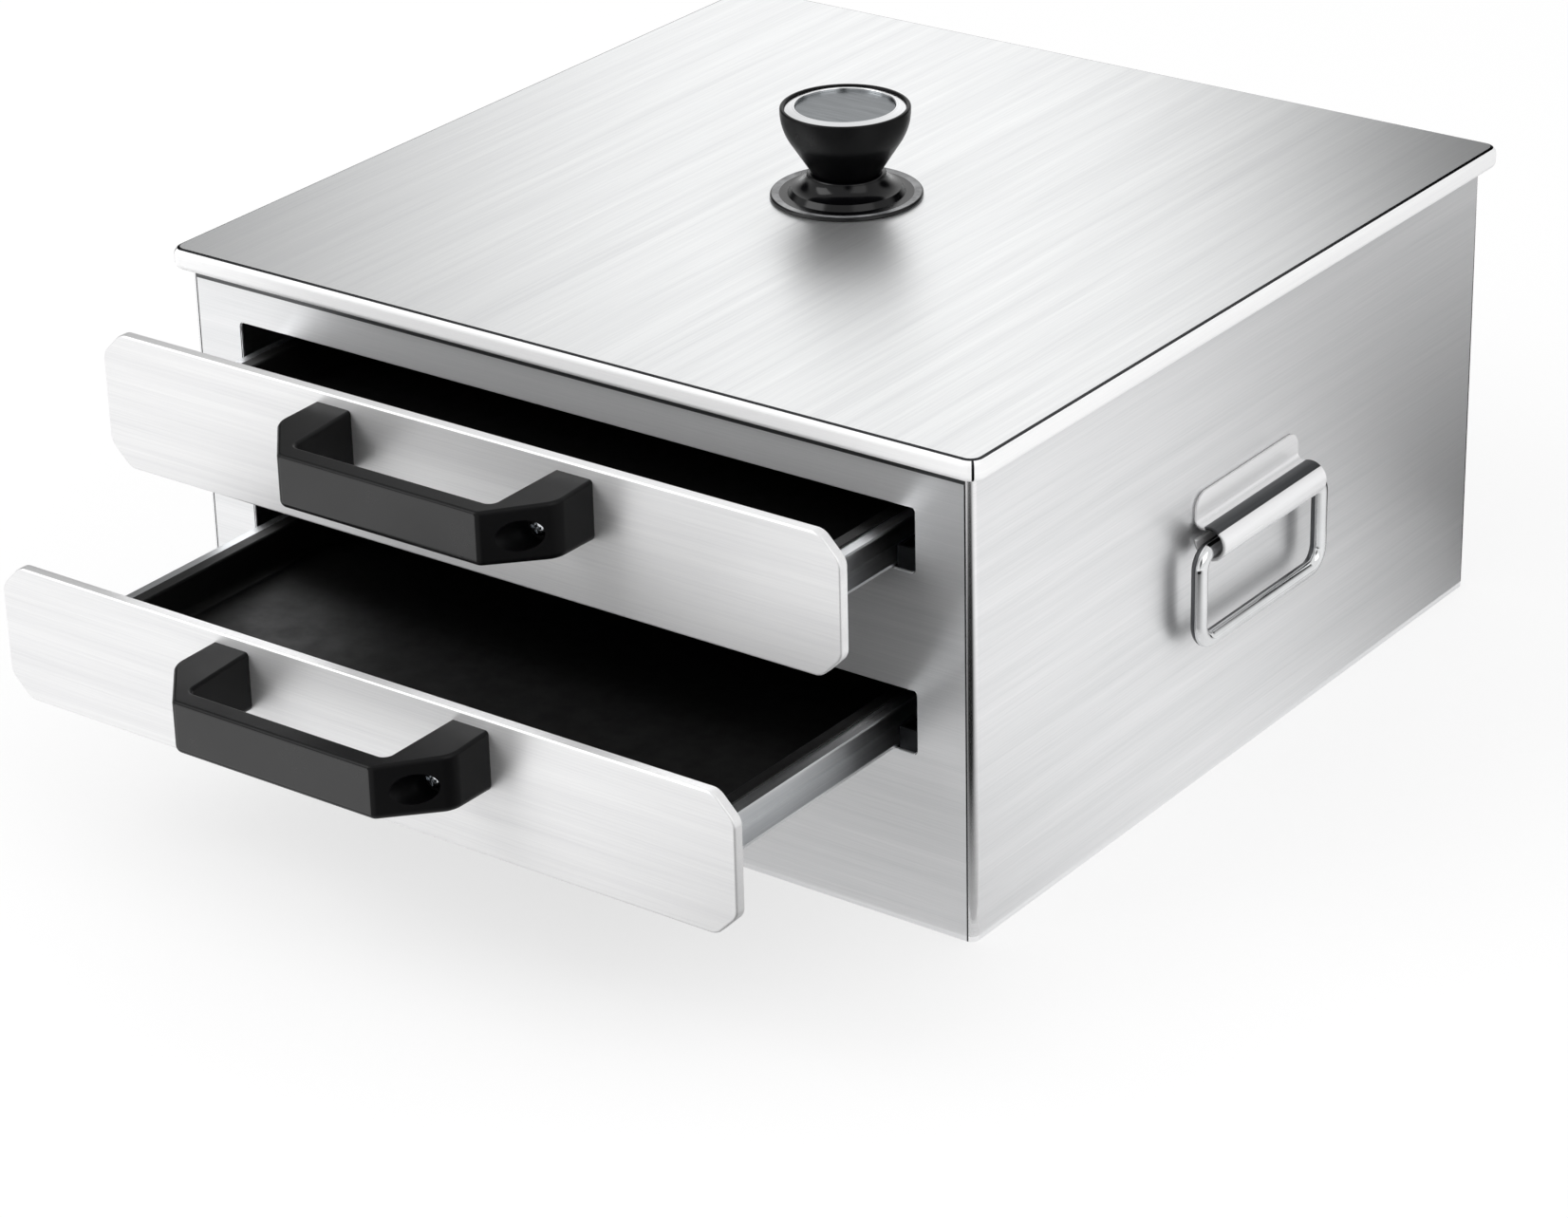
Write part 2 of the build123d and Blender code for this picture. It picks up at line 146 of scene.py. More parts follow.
def chain(bm: BMesh, points: Iterable[Sequence[float]]) -> list[BMEdge]:
    """Joins points with edges, as the outline that an operator then sweeps.

    Args:
        bm: The mesh that gets the edges.
        points: Points of three numbers each.

    Returns:
        The edges, in order.
    """
    verts = [bm.verts.new(p) for p in points]
    return [bm.edges.new(pair) for pair in zip(verts, verts[1:])]


def of_kind(made: Iterable[object], kind: type) -> list:
    """The elements of one kind among those that an operator made."""
    return [item for item in made if isinstance(item, kind)]


def is_upright(edge: BMEdge) -> bool:
    """True for an edge along Z."""
    a, b = (v.co for v in edge.verts)
    return abs(a.z - b.z) > 1.0 and abs(a.x - b.x) + abs(a.y - b.y) < NEAR


def block(size: Sequence[float], centre: Sequence[float]) -> BMesh:
    """Starts a mesh with a box.

    Args:
        size: The box's width, depth and height.
        centre: The box's middle.

    Returns:
        The new mesh.
    """
    bm = bmesh.new()
    bmesh.ops.create_cube(bm, size=1.0)
    bmesh.ops.scale(bm, vec=size, verts=bm.verts)
    bmesh.ops.translate(bm, vec=centre, verts=bm.verts)
    return bm


def round_corners(bm: BMesh, corners: Iterable[BMVert], radius: float, segments: int) -> None:
    """Rounds or cuts the corners of a flat face.

    Args:
        bm: The mesh that holds the corners.
        corners: The corners' points.
        radius: The corners' radius, or the length of a cut corner.
        segments: Steps in each corner, where 1 cuts it straight.
    """
    bmesh.ops.bevel(bm, geom=list(corners), offset=radius, offset_type="OFFSET",
                    affect="VERTICES", segments=segments, profile=0.5, material=-1)


def plate(bm: BMesh, width: float, depth: float, corner: float, segments: int,
          place: Matrix) -> BMFace:
    """A flat face with rounded or cut corners.

    Args:
        bm: The mesh that gets the face.
        width: Its size along its own X.
        depth: Its size along its own Y.
        corner: The corners' radius, or the length of a cut corner.
        segments: Steps in each corner, where 1 cuts it straight.
        place: Where the face's own centre and axes go.

    Returns:
        The new face.
    """
    before = set(bm.faces)
    verts = bmesh.ops.create_grid(bm, x_segments=1, y_segments=1, size=0.5)["verts"]
    bmesh.ops.scale(bm, vec=(width, depth, 1.0), verts=verts)
    round_corners(bm, verts, corner, segments)
    face = next(f for f in bm.faces if f not in before)
    bmesh.ops.transform(bm, matrix=place, verts=face.verts)
    return face


def upright(x: float, y: float, z: float) -> Matrix:
    """The place of a plate that faces the front, with its own Y upwards."""
    return Matrix.Translation((x, y, z)) @ Matrix.Rotation(QUARTER, 4, "X")


def open_loop(bm: BMesh, face: BMFace) -> list[BMEdge]:
    """Takes a face away and keeps its outline.

    Args:
        bm: The mesh that holds the face.
        face: The face that goes.

    Returns:
        The edges that are left.
    """
    edges = list(face.edges)
    bmesh.ops.delete(bm, geom=[face], context="FACES_ONLY")
    return edges


def pull(bm: BMesh, edges: Sequence[BMEdge], move: Sequence[float],
         scale: Sequence[float] = (1.0, 1.0, 1.0),
         about: Optional[Vector] = None) -> list[BMEdge]:
    """Extrudes edges and moves the new ones.

    Args:
        bm: The mesh that holds the edges.
        edges: The edges to extrude.
        move: How far the new edges move.
        scale: How much the new edges grow about a point, before they move.
        about: The point that the growth is about.

    Returns:
        The new edges.
    """
    made = bmesh.ops.extrude_edge_only(bm, edges=list(edges))["geom"]
    verts = of_kind(made, BMVert)
    if about is not None:
        bmesh.ops.scale(bm, vec=scale, space=Matrix.Translation(-about), verts=verts)
    bmesh.ops.translate(bm, vec=move, verts=verts)
    return of_kind(made, BMEdge)


def round_edges(bm: BMesh, edges: Iterable[BMEdge], radius: float, segments: int) -> None:
    """Rounds edges.

    Args:
        bm: The mesh that holds the edges.
        edges: The edges to round.
        radius: How far the round reaches on each side.
        segments: Steps in the round.
    """
    bmesh.ops.bevel(bm, geom=list(edges), offset=radius, offset_type="OFFSET", affect="EDGES",
                    segments=segments, profile=0.5, clamp_overlap=True, material=-1)


def turned(profile: Sequence[Point], centre: Vector, steps: int) -> BMesh:
    """Turns a profile about an upright axis.

    Args:
        profile: Points of radius and height.
        centre: The foot of the axis.
        steps: Steps in the full turn.

    Returns:
        A closed mesh.
    """
    bm = bmesh.new()
    chain(bm, [(centre.x + r, centre.y, centre.z + z) for r, z in profile])
    bmesh.ops.spin(bm, geom=list(bm.verts) + list(bm.edges), cent=centre, axis=(0, 0, 1),
                   dvec=(0, 0, 0), angle=math.tau, steps=steps, use_merge=True,
                   use_duplicate=False)
    tidy(bm)
    return bm


def tidy(bm: BMesh) -> None:
    """Merges doubles and points every face outwards.

    Args:
        bm: The closed mesh.
    """
    bmesh.ops.remove_doubles(bm, verts=bm.verts, dist=MERGE)
    bmesh.ops.dissolve_degenerate(bm, edges=bm.edges, dist=MERGE / 2)
    bmesh.ops.recalc_face_normals(bm, faces=bm.faces)


def thicken(bm: BMesh, sheet: float, shown: Sequence[float]) -> None:
    """Gives a skin its sheet thickness, behind the side that shows.

    Args:
        bm: The skin.
        sheet: The thickness.
        shown: A direction. The skin's outermost face that way is made to look that way.
    """
    bmesh.ops.recalc_face_normals(bm, faces=bm.faces)
    way = Vector(shown)
    outermost = max(bm.faces, key=lambda f: f.calc_center_median().dot(way))
    if outermost.normal.dot(way) < 0:
        bmesh.ops.reverse_faces(bm, faces=bm.faces)
    bmesh.ops.solidify(bm, geom=bm.faces, thickness=sheet)


def scene_object(name: str, data: bpy.types.ID) -> Object:
    """Makes an object of some data and links it to the scene.

    Args:
        name: The object's name.
        data: Its mesh, camera or light.

    Returns:
        The new object.
    """
    obj = bpy.data.objects.new(name, data)
    bpy.context.scene.collection.objects.link(obj)
    return obj


def mesh_object(bm: BMesh, name: str) -> Object:
    """Turns a mesh in millimetres into an object in metres, at the origin.

    Args:
        bm: The mesh, which is freed.
        name: The object's name.

    Returns:
        The new object, linked to the scene.
    """
    bmesh.ops.scale(bm, vec=(MM, MM, MM), verts=bm.verts)
    mesh = bpy.data.meshes.new(name)
    bm.to_mesh(mesh)
    bm.free()
    return scene_object(name, mesh)


def cut_away(obj: Object, tool: BMesh) -> None:
    """Cuts a tool's shape out of an object, for good.

    Args:
        obj: The object that is cut.
        tool: The closed mesh, in millimetres, that is cut away.
    """
    cutter = mesh_object(tool, obj.name + "_cutter")
    modifier = obj.modifiers.new("cut", "BOOLEAN")
    modifier.operation = "DIFFERENCE"
    modifier.solver = "EXACT"
    modifier.object = cutter
    graph = bpy.context.evaluated_depsgraph_get()
    result = bpy.data.meshes.new_from_object(obj.evaluated_get(graph))
    obj.modifiers.clear()
    obj.data = result
    bpy.data.objects.remove(cutter)


# ---------------------------------------------------------------------------------------------
# Finishes
# ---------------------------------------------------------------------------------------------


def linear(code: str) -> tuple[float, float, float, float]:
    """Turns an sRGB hex colour into the linear colour that a shader takes.

    Args:
        code: Six hex digits after a number sign.

    Returns:
        Red, green, blue and an alpha of 1.
    """
    channels = [int(code[i:i + 2], 16) / 255.0 for i in (1, 3, 5)]
    flat = [c / 12.92 if c <= 0.04045 else ((c + 0.055) / 1.055) ** 2.4 for c in channels]
    return (flat[0], flat[1], flat[2], 1.0)


def add_node(tree: NodeTree, kind: str, inputs: dict[Union[str, int], NodeInput],
             **settings: object) -> Node:
    """Adds a node with its settings, values and links.

    Args:
        tree: The node tree.
        kind: The node's type.
        inputs: For each input, by name or number, a value or the socket it is linked to.
        **settings: The node's own properties.

    Returns:
        The new node.
    """
    node = tree.nodes.new(kind)
    for key, value in settings.items():
        setattr(node, key, value)
    for key, value in inputs.items():
        if isinstance(value, NodeSocket):
            tree.links.new(value, node.inputs[key])
        else:
            node.inputs[key].default_value = value
    return node


def bare_material(name: str) -> Material:
    """Makes a material with no nodes.

    Args:
        name: The material's name.

    Returns:
        The new material.
    """
    material = bpy.data.materials.new(name)
    material.use_nodes = True
    material.node_tree.nodes.clear()
    return material


class Lines(Enum):
    """Which way the brush or the rolls ran over the metal."""

    ALONG_X = (1, 0, 0)
    ALONG_Y = (0, 1, 0)
    LEVEL = (1, 1, 0)

    def stretch(self, spacing: float, length: float) -> tuple[float, float, float]:
        """Texture scales, per metre, of lines this far apart and this long, in millimetres."""
        return tuple(PER_METRE / (length if along else spacing) for along in self.value)


@dataclass(frozen=True)
class Finish:
    """A material by the name that a maker gives it.

    Attributes:
        name: The finish's name.
        colour: The sRGB hex colour of the clean surface.
        shade: The sRGB hex colour of its darker grain, mottle or dust.
        roughness: The middle roughness.
        roughness_play: How far the roughness strays to each side.
        tint_range: The values of the pattern at which the colour is all shade and all clean.
    """

    name: str
    colour: str
    shade: str
    roughness: float
    roughness_play: float
    tint_range: tuple[float, float] = NOISE_SPAN

    def build(self) -> Material:
        """Makes the material.

        Returns:
            The new material.
        """
        material = bare_material(self.name)
        tree = material.node_tree
        where = add_node(tree, "ShaderNodeTexCoord", {}).outputs["Object"]
        shader = self.shader(tree, where)
        add_node(tree, "ShaderNodeOutputMaterial", {"Surface": shader.outputs["BSDF"]})
        return material

    def shader(self, tree: NodeTree, where: NodeSocket) -> Node:
        """Adds the nodes of one kind of finish.

        Args:
            tree: The node tree.
            where: The place on the piece, in metres.

        Returns:
            The shader.
        """
        raise NotImplementedError

    def surface(self, tree: NodeTree, pattern: NodeSocket, relief: Node,
                more: dict[str, NodeInput]) -> Node:
        """Adds the shader, with its colour and its roughness from one pattern.

        Args:
            tree: The node tree.
            pattern: The pattern. The surface is cleaner and smoother where it is higher.
            relief: The bump that the shader gets.
            more: Inputs that only this kind of finish has.

        Returns:
            The shader.
        """
        share = add_node(tree, "ShaderNodeMapRange", {
            "Value": pattern, "From Min": self.tint_range[0], "From Max": self.tint_range[1]})
        tint = add_node(tree, "ShaderNodeMix", {
            0: share.outputs["Result"], 6: linear(self.shade), 7: linear(self.colour)},
            data_type="RGBA")
        wear = add_node(tree, "ShaderNodeMapRange", {
            "Value": pattern, "From Min": NOISE_SPAN[0], "From Max": NOISE_SPAN[1],
            "To Min": self.roughness + self.roughness_play,
            "To Max": self.roughness - self.roughness_play})
        return add_node(tree, "ShaderNodeBsdfPrincipled", {
            "Base Color": tint.outputs[2], "Roughness": wear.outputs["Result"],
            "Normal": relief.outputs["Normal"], **more})


@dataclass(frozen=True)
class BrushedSheet(Finish):
    """Stainless sheet, brushed one way: satin streaks and a faint wave of the thin metal.

    Attributes:
        lines: Which way the brush ran.
        tangent: The direction across the lines, on the faces that show most.
        spacing: The distance between lines. Real ones are 0.05 mm apart, too fine to show.
        length: How long a line runs before it fades.
        depth: The depth of the lines, which is coarse as their spacing is.
        band: A broad band of shade: how many spacings apart and how many lengths long.
        band_share: The band's share of the pattern.
        wave: The distance between the swells of the sheet.
        wave_depth: The height of the swells.
        anisotropy: How much the lines spread a highlight across them.
        metallic: Below 1 where scuffs too fine to draw scatter light as a matt surface does. Far
            below 1, on the lid's edge and on the strap, the matt white is a painted highlight.
    """

    lines: Lines = Lines.ALONG_X
    tangent: tuple[float, float, float] = (0.0, 0.0, 1.0)
    spacing: float = 0.55
    length: float = 55.0
    depth: float = 0.0012
    band: tuple[float, float] = (9.0, 5.0)
    band_share: float = 0.45
    wave: float = 110.0
    wave_depth: float = 0.1
    anisotropy: float = 0.4
    metallic: float = 1.0
    tint_range: tuple[float, float] = (0.32, 0.68)

    def shader(self, tree: NodeTree, where: NodeSocket) -> Node:
        """Adds streaks in colour, roughness and height over a slow wave.

        Args:
            tree: The node tree.
            where: The place on the piece, in metres.

        Returns:
            The shader.
        """
        layers = []
        for wide, long, detail, rough in ((1.0, 1.0, 4.0, 0.62), (*self.band, 2.0, 0.5)):
            stretched = add_node(tree, "ShaderNodeMapping", {
                "Vector": where,
                "Scale": self.lines.stretch(self.spacing * wide, self.length * long)})
            noise = add_node(tree, "ShaderNodeTexNoise", {
                "Vector": stretched.outputs["Vector"], "Scale": 1.0, "Detail": detail,
                "Roughness": rough})
            layers.append(noise.outputs["Fac"])
        both = add_node(tree, "ShaderNodeMix", {
            0: self.band_share, 2: layers[0], 3: layers[1]}, data_type="FLOAT")
        swell = add_node(tree, "ShaderNodeTexNoise", {
            "Vector": where, "Scale": PER_METRE / self.wave, "Detail": 1.0, "Roughness": 0.4})
        bowed = add_node(tree, "ShaderNodeBump", {
            "Height": swell.outputs["Fac"], "Strength": 1.0, "Distance": self.wave_depth * MM})
        scored = add_node(tree, "ShaderNodeBump", {
            "Height": layers[0], "Strength": 1.0, "Distance": self.depth * MM,
            "Normal": bowed.outputs["Normal"]})
        across = add_node(tree, "ShaderNodeCombineXYZ", dict(zip("XYZ", self.tangent)))
        return self.surface(tree, both.outputs[0], scored, {
            "Metallic": self.metallic, "Anisotropic": self.anisotropy,
            "Tangent": across.outputs["Vector"]})


@dataclass(frozen=True)
class Mottled(Finish):
    """A finish with no direction: plating, coating or moulding, with a fine grain.

    Attributes:
        grain: The size of its grain or orange peel.
        grain_depth: How deep the grain is.
        patch: The size of its uneven patches.
        metallic: 1 for a metal, 0 for plastic and coating.
        ior: The refractive index, for what isn't a metal.
        specular: The share of the usual gloss, for what isn't a metal.
    """

    grain: float = 0.6
    grain_depth: float = 0.002
    patch: float = 25.0
    metallic: float = 0.0
    ior: float = 1.5
    specular: float = 0.5

    def shader(self, tree: NodeTree, where: NodeSocket) -> Node:
        """Adds patches in colour and roughness and a fine grain in height.

        Args:
            tree: The node tree.
            where: The place on the piece, in metres.

        Returns:
            The shader.
        """
        patches = add_node(tree, "ShaderNodeTexNoise", {
            "Vector": where, "Scale": PER_METRE / self.patch, "Detail": 5.0, "Roughness": 0.6})
        peel = add_node(tree, "ShaderNodeTexNoise", {
            "Vector": where, "Scale": PER_METRE / self.grain, "Detail": 2.0, "Roughness": 0.5})
        height = add_node(tree, "ShaderNodeBump", {
            "Height": peel.outputs["Fac"], "Strength": 1.0, "Distance": self.grain_depth * MM})
        more = {"Metallic": self.metallic}
        if self.metallic < 1.0:
            more |= {"IOR": self.ior, "Specular IOR Level": self.specular}
        return self.surface(tree, patches.outputs["Fac"], height, more)


@dataclass(frozen=True)
class Bakelite(Mottled):
    """Compression-moulded bakelite, with a faint flow of the resin."""

    grain: float = 1.6
    patch: float = 20.0
    ior: float = 1.55


@dataclass(frozen=True)
class Turned(Finish):
    """Metal spun or turned on a lathe: fine rings about an upright axis.

    Attributes:
        pitch: The distance between rings. Real ones are 0.05 mm apart, too fine to show.
        depth: The depth of the rings.
    """

    pitch: float = 0.35
    depth: float = 0.004

    def shader(self, tree: NodeTree, where: NodeSocket) -> Node:
        """Adds rings in colour, roughness and height.

        Args:
            tree: The node tree.
            where: The place on the piece, in metres. The rings' axis goes through its origin.

        Returns:
            The shader.
        """
        level = add_node(tree, "ShaderNodeMapping", {"Vector": where, "Scale": (1.0, 1.0, 0.0)})
        radius = add_node(tree, "ShaderNodeVectorMath", {0: level.outputs["Vector"]},
                          operation="LENGTH")
        rings = add_node(tree, "ShaderNodeTexNoise", {
            "W": radius.outputs["Value"], "Scale": PER_METRE / self.pitch, "Detail": 3.0},
            noise_dimensions="1D")
        height = add_node(tree, "ShaderNodeBump", {
            "Height": rings.outputs["Fac"], "Strength": 1.0, "Distance": self.depth * MM})
        return self.surface(tree, rings.outputs["Fac"], height, {"Metallic": 1.0})


# Satin stainless, brushed front to back: the lid's streaks run away from the drawers.
LID_STEEL = BrushedSheet("stainless_lid_brushed", "#f2f3f3", "#e2e3e4", 0.38, 0.03,
                         lines=Lines.ALONG_Y, tangent=(1.0, 0.0, 0.0), metallic=0.9)
# Satin stainless of the wrapped walls: level streaks on every wall.
WALL_STEEL = BrushedSheet("stainless_wall_brushed", "#f2f2f3", "#e3e4e5", 0.4, 0.03,
                          lines=Lines.LEVEL, anisotropy=0.7, metallic=0.9)
# A thin grey line on the front wall right under the lid's edge: a painted shadow of the lid.
PAINTED_LID_SHADOW = BrushedSheet("stainless_wall_stained", "#6a6b6c", "#565758", 0.4, 0.05, spacing=0.8,
                          depth=0.002, wave=60.0, wave_depth=0.02, anisotropy=0.3)
# The lid's rolled edge, nearly matt and whiter than the lid: a painted highlight.
ROLLED_EDGE_PAINTED_HIGHLIGHT = BrushedSheet("stainless_edge_painted_highlight", "#f9f9f9", "#efeff0", 0.56, 0.03,
                           lines=Lines.LEVEL, wave_depth=0.02, anisotropy=0.8, metallic=0.15)
# An upright bend, burnished by the press tool: a bright sharp glint.
BURNISHED_BEND = BrushedSheet("stainless_bend_burnished", "#f4f4f5", "#e8e8e9", 0.2, 0.02,
                              lines=Lines.LEVEL, depth=0.0006, wave_depth=0.02, anisotropy=0.0)
# A dark line along the front of the corner bends and along the lid's crease and corners: a painted
# dark reflection.
PAINTED_DARK_LINE = replace(BURNISHED_BEND, name="stainless_painted_dark_line", colour="#3e3f41",
                      shade="#323335", roughness=0.26, roughness_play=0.03)
# Stainless of the drawer fronts: brighter, with level streaks from side to side.
FRONT_STEEL = BrushedSheet("stainless_front_brushed", "#f2f2f2", "#e4e4e5", 0.41, 0.03,
                           wave_depth=0.06, anisotropy=0.7, metallic=0.8)
# Mill-finish stainless of the drawers' folded rails: greyer, with rolling marks.
RAIL_STEEL = BrushedSheet("stainless_rail_rolled", "#e6e7e8", "#d0d2d4", 0.32, 0.05,
                          lines=Lines.ALONG_Y, tangent=(1.0, 0.0, 0.0), spacing=0.8, depth=0.002,
                          wave=60.0, wave_depth=0.02, anisotropy=0.3)
# Stainless left inside the steam space, near-black: dulled by scale and heat, and darkened further
# as painted shade, so a slot looks dark.
SCALED_AND_SHADED_STEEL = Mottled("stainless_inside_scaled", "#343538", "#242527", 0.5, 0.08, grain=0.7,
                       grain_depth=0.004, patch=14.0, metallic=1.0)
# Bright stainless strap, rolled into a barrel, with faint rolling marks: nearly matt, so its white
# is a painted highlight in place of a mirror's reflection.
STRAP_STEEL = BrushedSheet("stainless_strap_bright", "#f2f2f3", "#e8e8e9", 0.26, 0.02,
                           lines=Lines.ALONG_Y, spacing=0.8, depth=0.0002, wave=30.0,
                           wave_depth=0.01, anisotropy=0.0, metallic=0.28)
# The same, dark along the top of the roll: a painted reflection of the shaded wall above it.
ROLL_TOP_PAINTED_SHADE = replace(STRAP_STEEL, name="stainless_strap_painted_shade", colour="#5e5f61",
                    shade="#4c4d4f", roughness=0.4, roughness_play=0.04, metallic=1.0)
# Polished stainless rod: a mirror with tiny draw marks.
ROD_STEEL = Mottled("stainless_rod_polished", "#e8e9ea", "#dadbdc", 0.09, 0.02, grain=0.9,
                    grain_depth=0.0012, patch=18.0, metallic=1.0)
# The same, darker, on the side that faces the wall: painted shade.
ROD_PAINTED_SHADE = replace(ROD_STEEL, name="stainless_rod_painted_shade", colour="#626365",
                         shade="#545557", roughness=0.36, roughness_play=0.04)
# Bakelite of the bow handles, as it comes from the mould: deep black and satin.
BAKELITE = Bakelite("bakelite_black_moulded", "#0a0a0b", "#070708", 0.34, 0.05, patch=30.0,
                    specular=0.12)
# The same on the grip's front faces, lighter and glossier than on the rest of the bow: a painted
# sheen.
BAKELITE_PAINTED_SHEEN = Bakelite("bakelite_black_painted_sheen", "#121213", "#0c0c0d", 0.3, 0.06,
                            patch=30.0, specular=0.55)
# Bakelite of the knob's grip, worn satin by the hand: nearly no gloss.
SATIN_BAKELITE = Bakelite("bakelite_black_satin", "#070708", "#050506", 0.3, 0.04, specular=0.09)
# Bakelite of the knob's saucer, buffed after moulding: black with sharper glints.
BUFFED_BAKELITE = Bakelite("bakelite_black_buffed", "#060608", "#040405", 0.16, 0.04,
                           specular=0.22)
# A pale grey ring on the saucer near its raised edge: a painted highlight.
SAUCER_PAINTED_HIGHLIGHT = Bakelite("bakelite_edge_painted_highlight", "#97989a", "#4e4f51", 0.22, 0.06,
                           grain_depth=0.001, patch=9.0, specular=0.4)
# Sprayed non-stick coating on steel: satin black with a fine speckle.
TRAY_COATING = Mottled("nonstick_black_sprayed", "#0b0b0b", "#050505", 0.42, 0.06, grain=0.5,
                       grain_depth=0.012, patch=8.0, ior=1.4, specular=0.4)
# Zinc plate on steel screws: pale, a little blue, slightly cloudy.
ZINC_PLATE = Mottled("zinc_plated_steel", "#dfe2e5", "#c2c6cb", 0.18, 0.05, grain=0.4,
                     grain_depth=0.002, patch=3.0, metallic=1.0)
# Turned brass of the threaded insert: yellow, with fine rings.
BRASS = Turned("brass_turned", "#d8b468", "#b8924a", 0.24, 0.05)
# Spun aluminium ring: bright, with fine rings.
RING_METAL = Turned("aluminium_ring_spun", "#f0f1f2", "#dfe0e2", 0.16, 0.04, depth=0.002)
# Anodised aluminium disc, brushed straight across: dark, with a sheen across the lines.
DISC_METAL = BrushedSheet("aluminium_disc_anodised", "#7d8184", "#5c6063", 0.3, 0.04,
                          tangent=(0.0, 1.0, 0.0), spacing=0.4, length=14.0, depth=0.003,
                          wave=20.0, wave_depth=0.01)

MATERIALS: dict[str, Material] = {}


def material_of(finish: Finish) -> Material:
    """The material of a finish, made once.

    Args:
        finish: The finish.

    Returns:
        Its material.
    """
    if finish.name not in MATERIALS:
        MATERIALS[finish.name] = finish.build()
    return MATERIALS[finish.name]


class Slot(Enum):
    """Material slot names that the new pieces are handed. Nothing in this script uses them."""

    SHEET = "brushed_stainless"
    ROD = "polished_steel_rod"
    BAKELITE = "black_bakelite"
    TRAY = "black_coated_steel"
    PLATED = "plated_steel"
    RING = "spun_aluminium"
    DISC = "dark_brushed_disc"


class SubAssembly:
    """Parts that belong together, and the CAD body that they ride on."""

    body: str = "body"

    def place(self, bm: BMesh, name: str, node: str, finish: Finish, slot: Slot) -> Object:
        """Turns a mesh into a piece that stands for a CAD node.

        Args:
            bm: The mesh, in millimetres.
            name: The piece's name.
            node: The CAD node that it stands for.
            finish: What it is made of.
            slot: The material slot for that. It is passed on to adopt, which doesn't use it.

        Returns:
            The new piece.
        """
        return self.adopt(mesh_object(bm, name), node, finish, slot)

    def adopt(self, obj: Object, node: str, finish: Finish, slot: Slot) -> Object:
        """Dresses an object and lets it stand for a CAD node.

        Args:
            obj: The object, in metres.
            node: The CAD node that it stands for.
            finish: What it is made of.
            slot: Not used.

        Returns:
            The same object, as a piece.
        """
        obj.data.materials.clear()
        obj.data.materials.append(material_of(finish))
        obj.data.shade_smooth()
        obj.data.set_sharp_from_angle(angle=SMOOTH_LIMIT)
        weighted = obj.modifiers.new("even_shading", "WEIGHTED_NORMAL")
        weighted.keep_sharp = True
        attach(obj, self.body)
        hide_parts(node)
        LOG.info("%s: %d faces", obj.name, len(obj.data.polygons))
        return obj

    @staticmethod
    def zone(obj: Object, finish: Finish, belongs: Callable[[MeshPolygon], bool]) -> None:
        """Gives the faces that belong to a zone a finish of their own.

        Args:
            obj: The piece.
            finish: The zone's finish.
            belongs: Tells whether a face is in the zone.
        """
        obj.data.materials.append(material_of(finish))
        for face in obj.data.polygons:
            if belongs(face):
                face.material_index = len(obj.data.materials) - 1

    def redress(self, node: str, finish: Finish) -> None:
        """Gives a CAD node that stays a better finish.

        Args:
            node: The node's name.
            finish: Its finish.
        """
        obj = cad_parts[node]
        if not obj.material_slots:
            obj.data.materials.append(None)
        for holder in obj.material_slots:
            holder.material = material_of(finish)
        LOG.info("%s: kept, %s", node, finish.name)


# ---------------------------------------------------------------------------------------------
# Body
# ---------------------------------------------------------------------------------------------


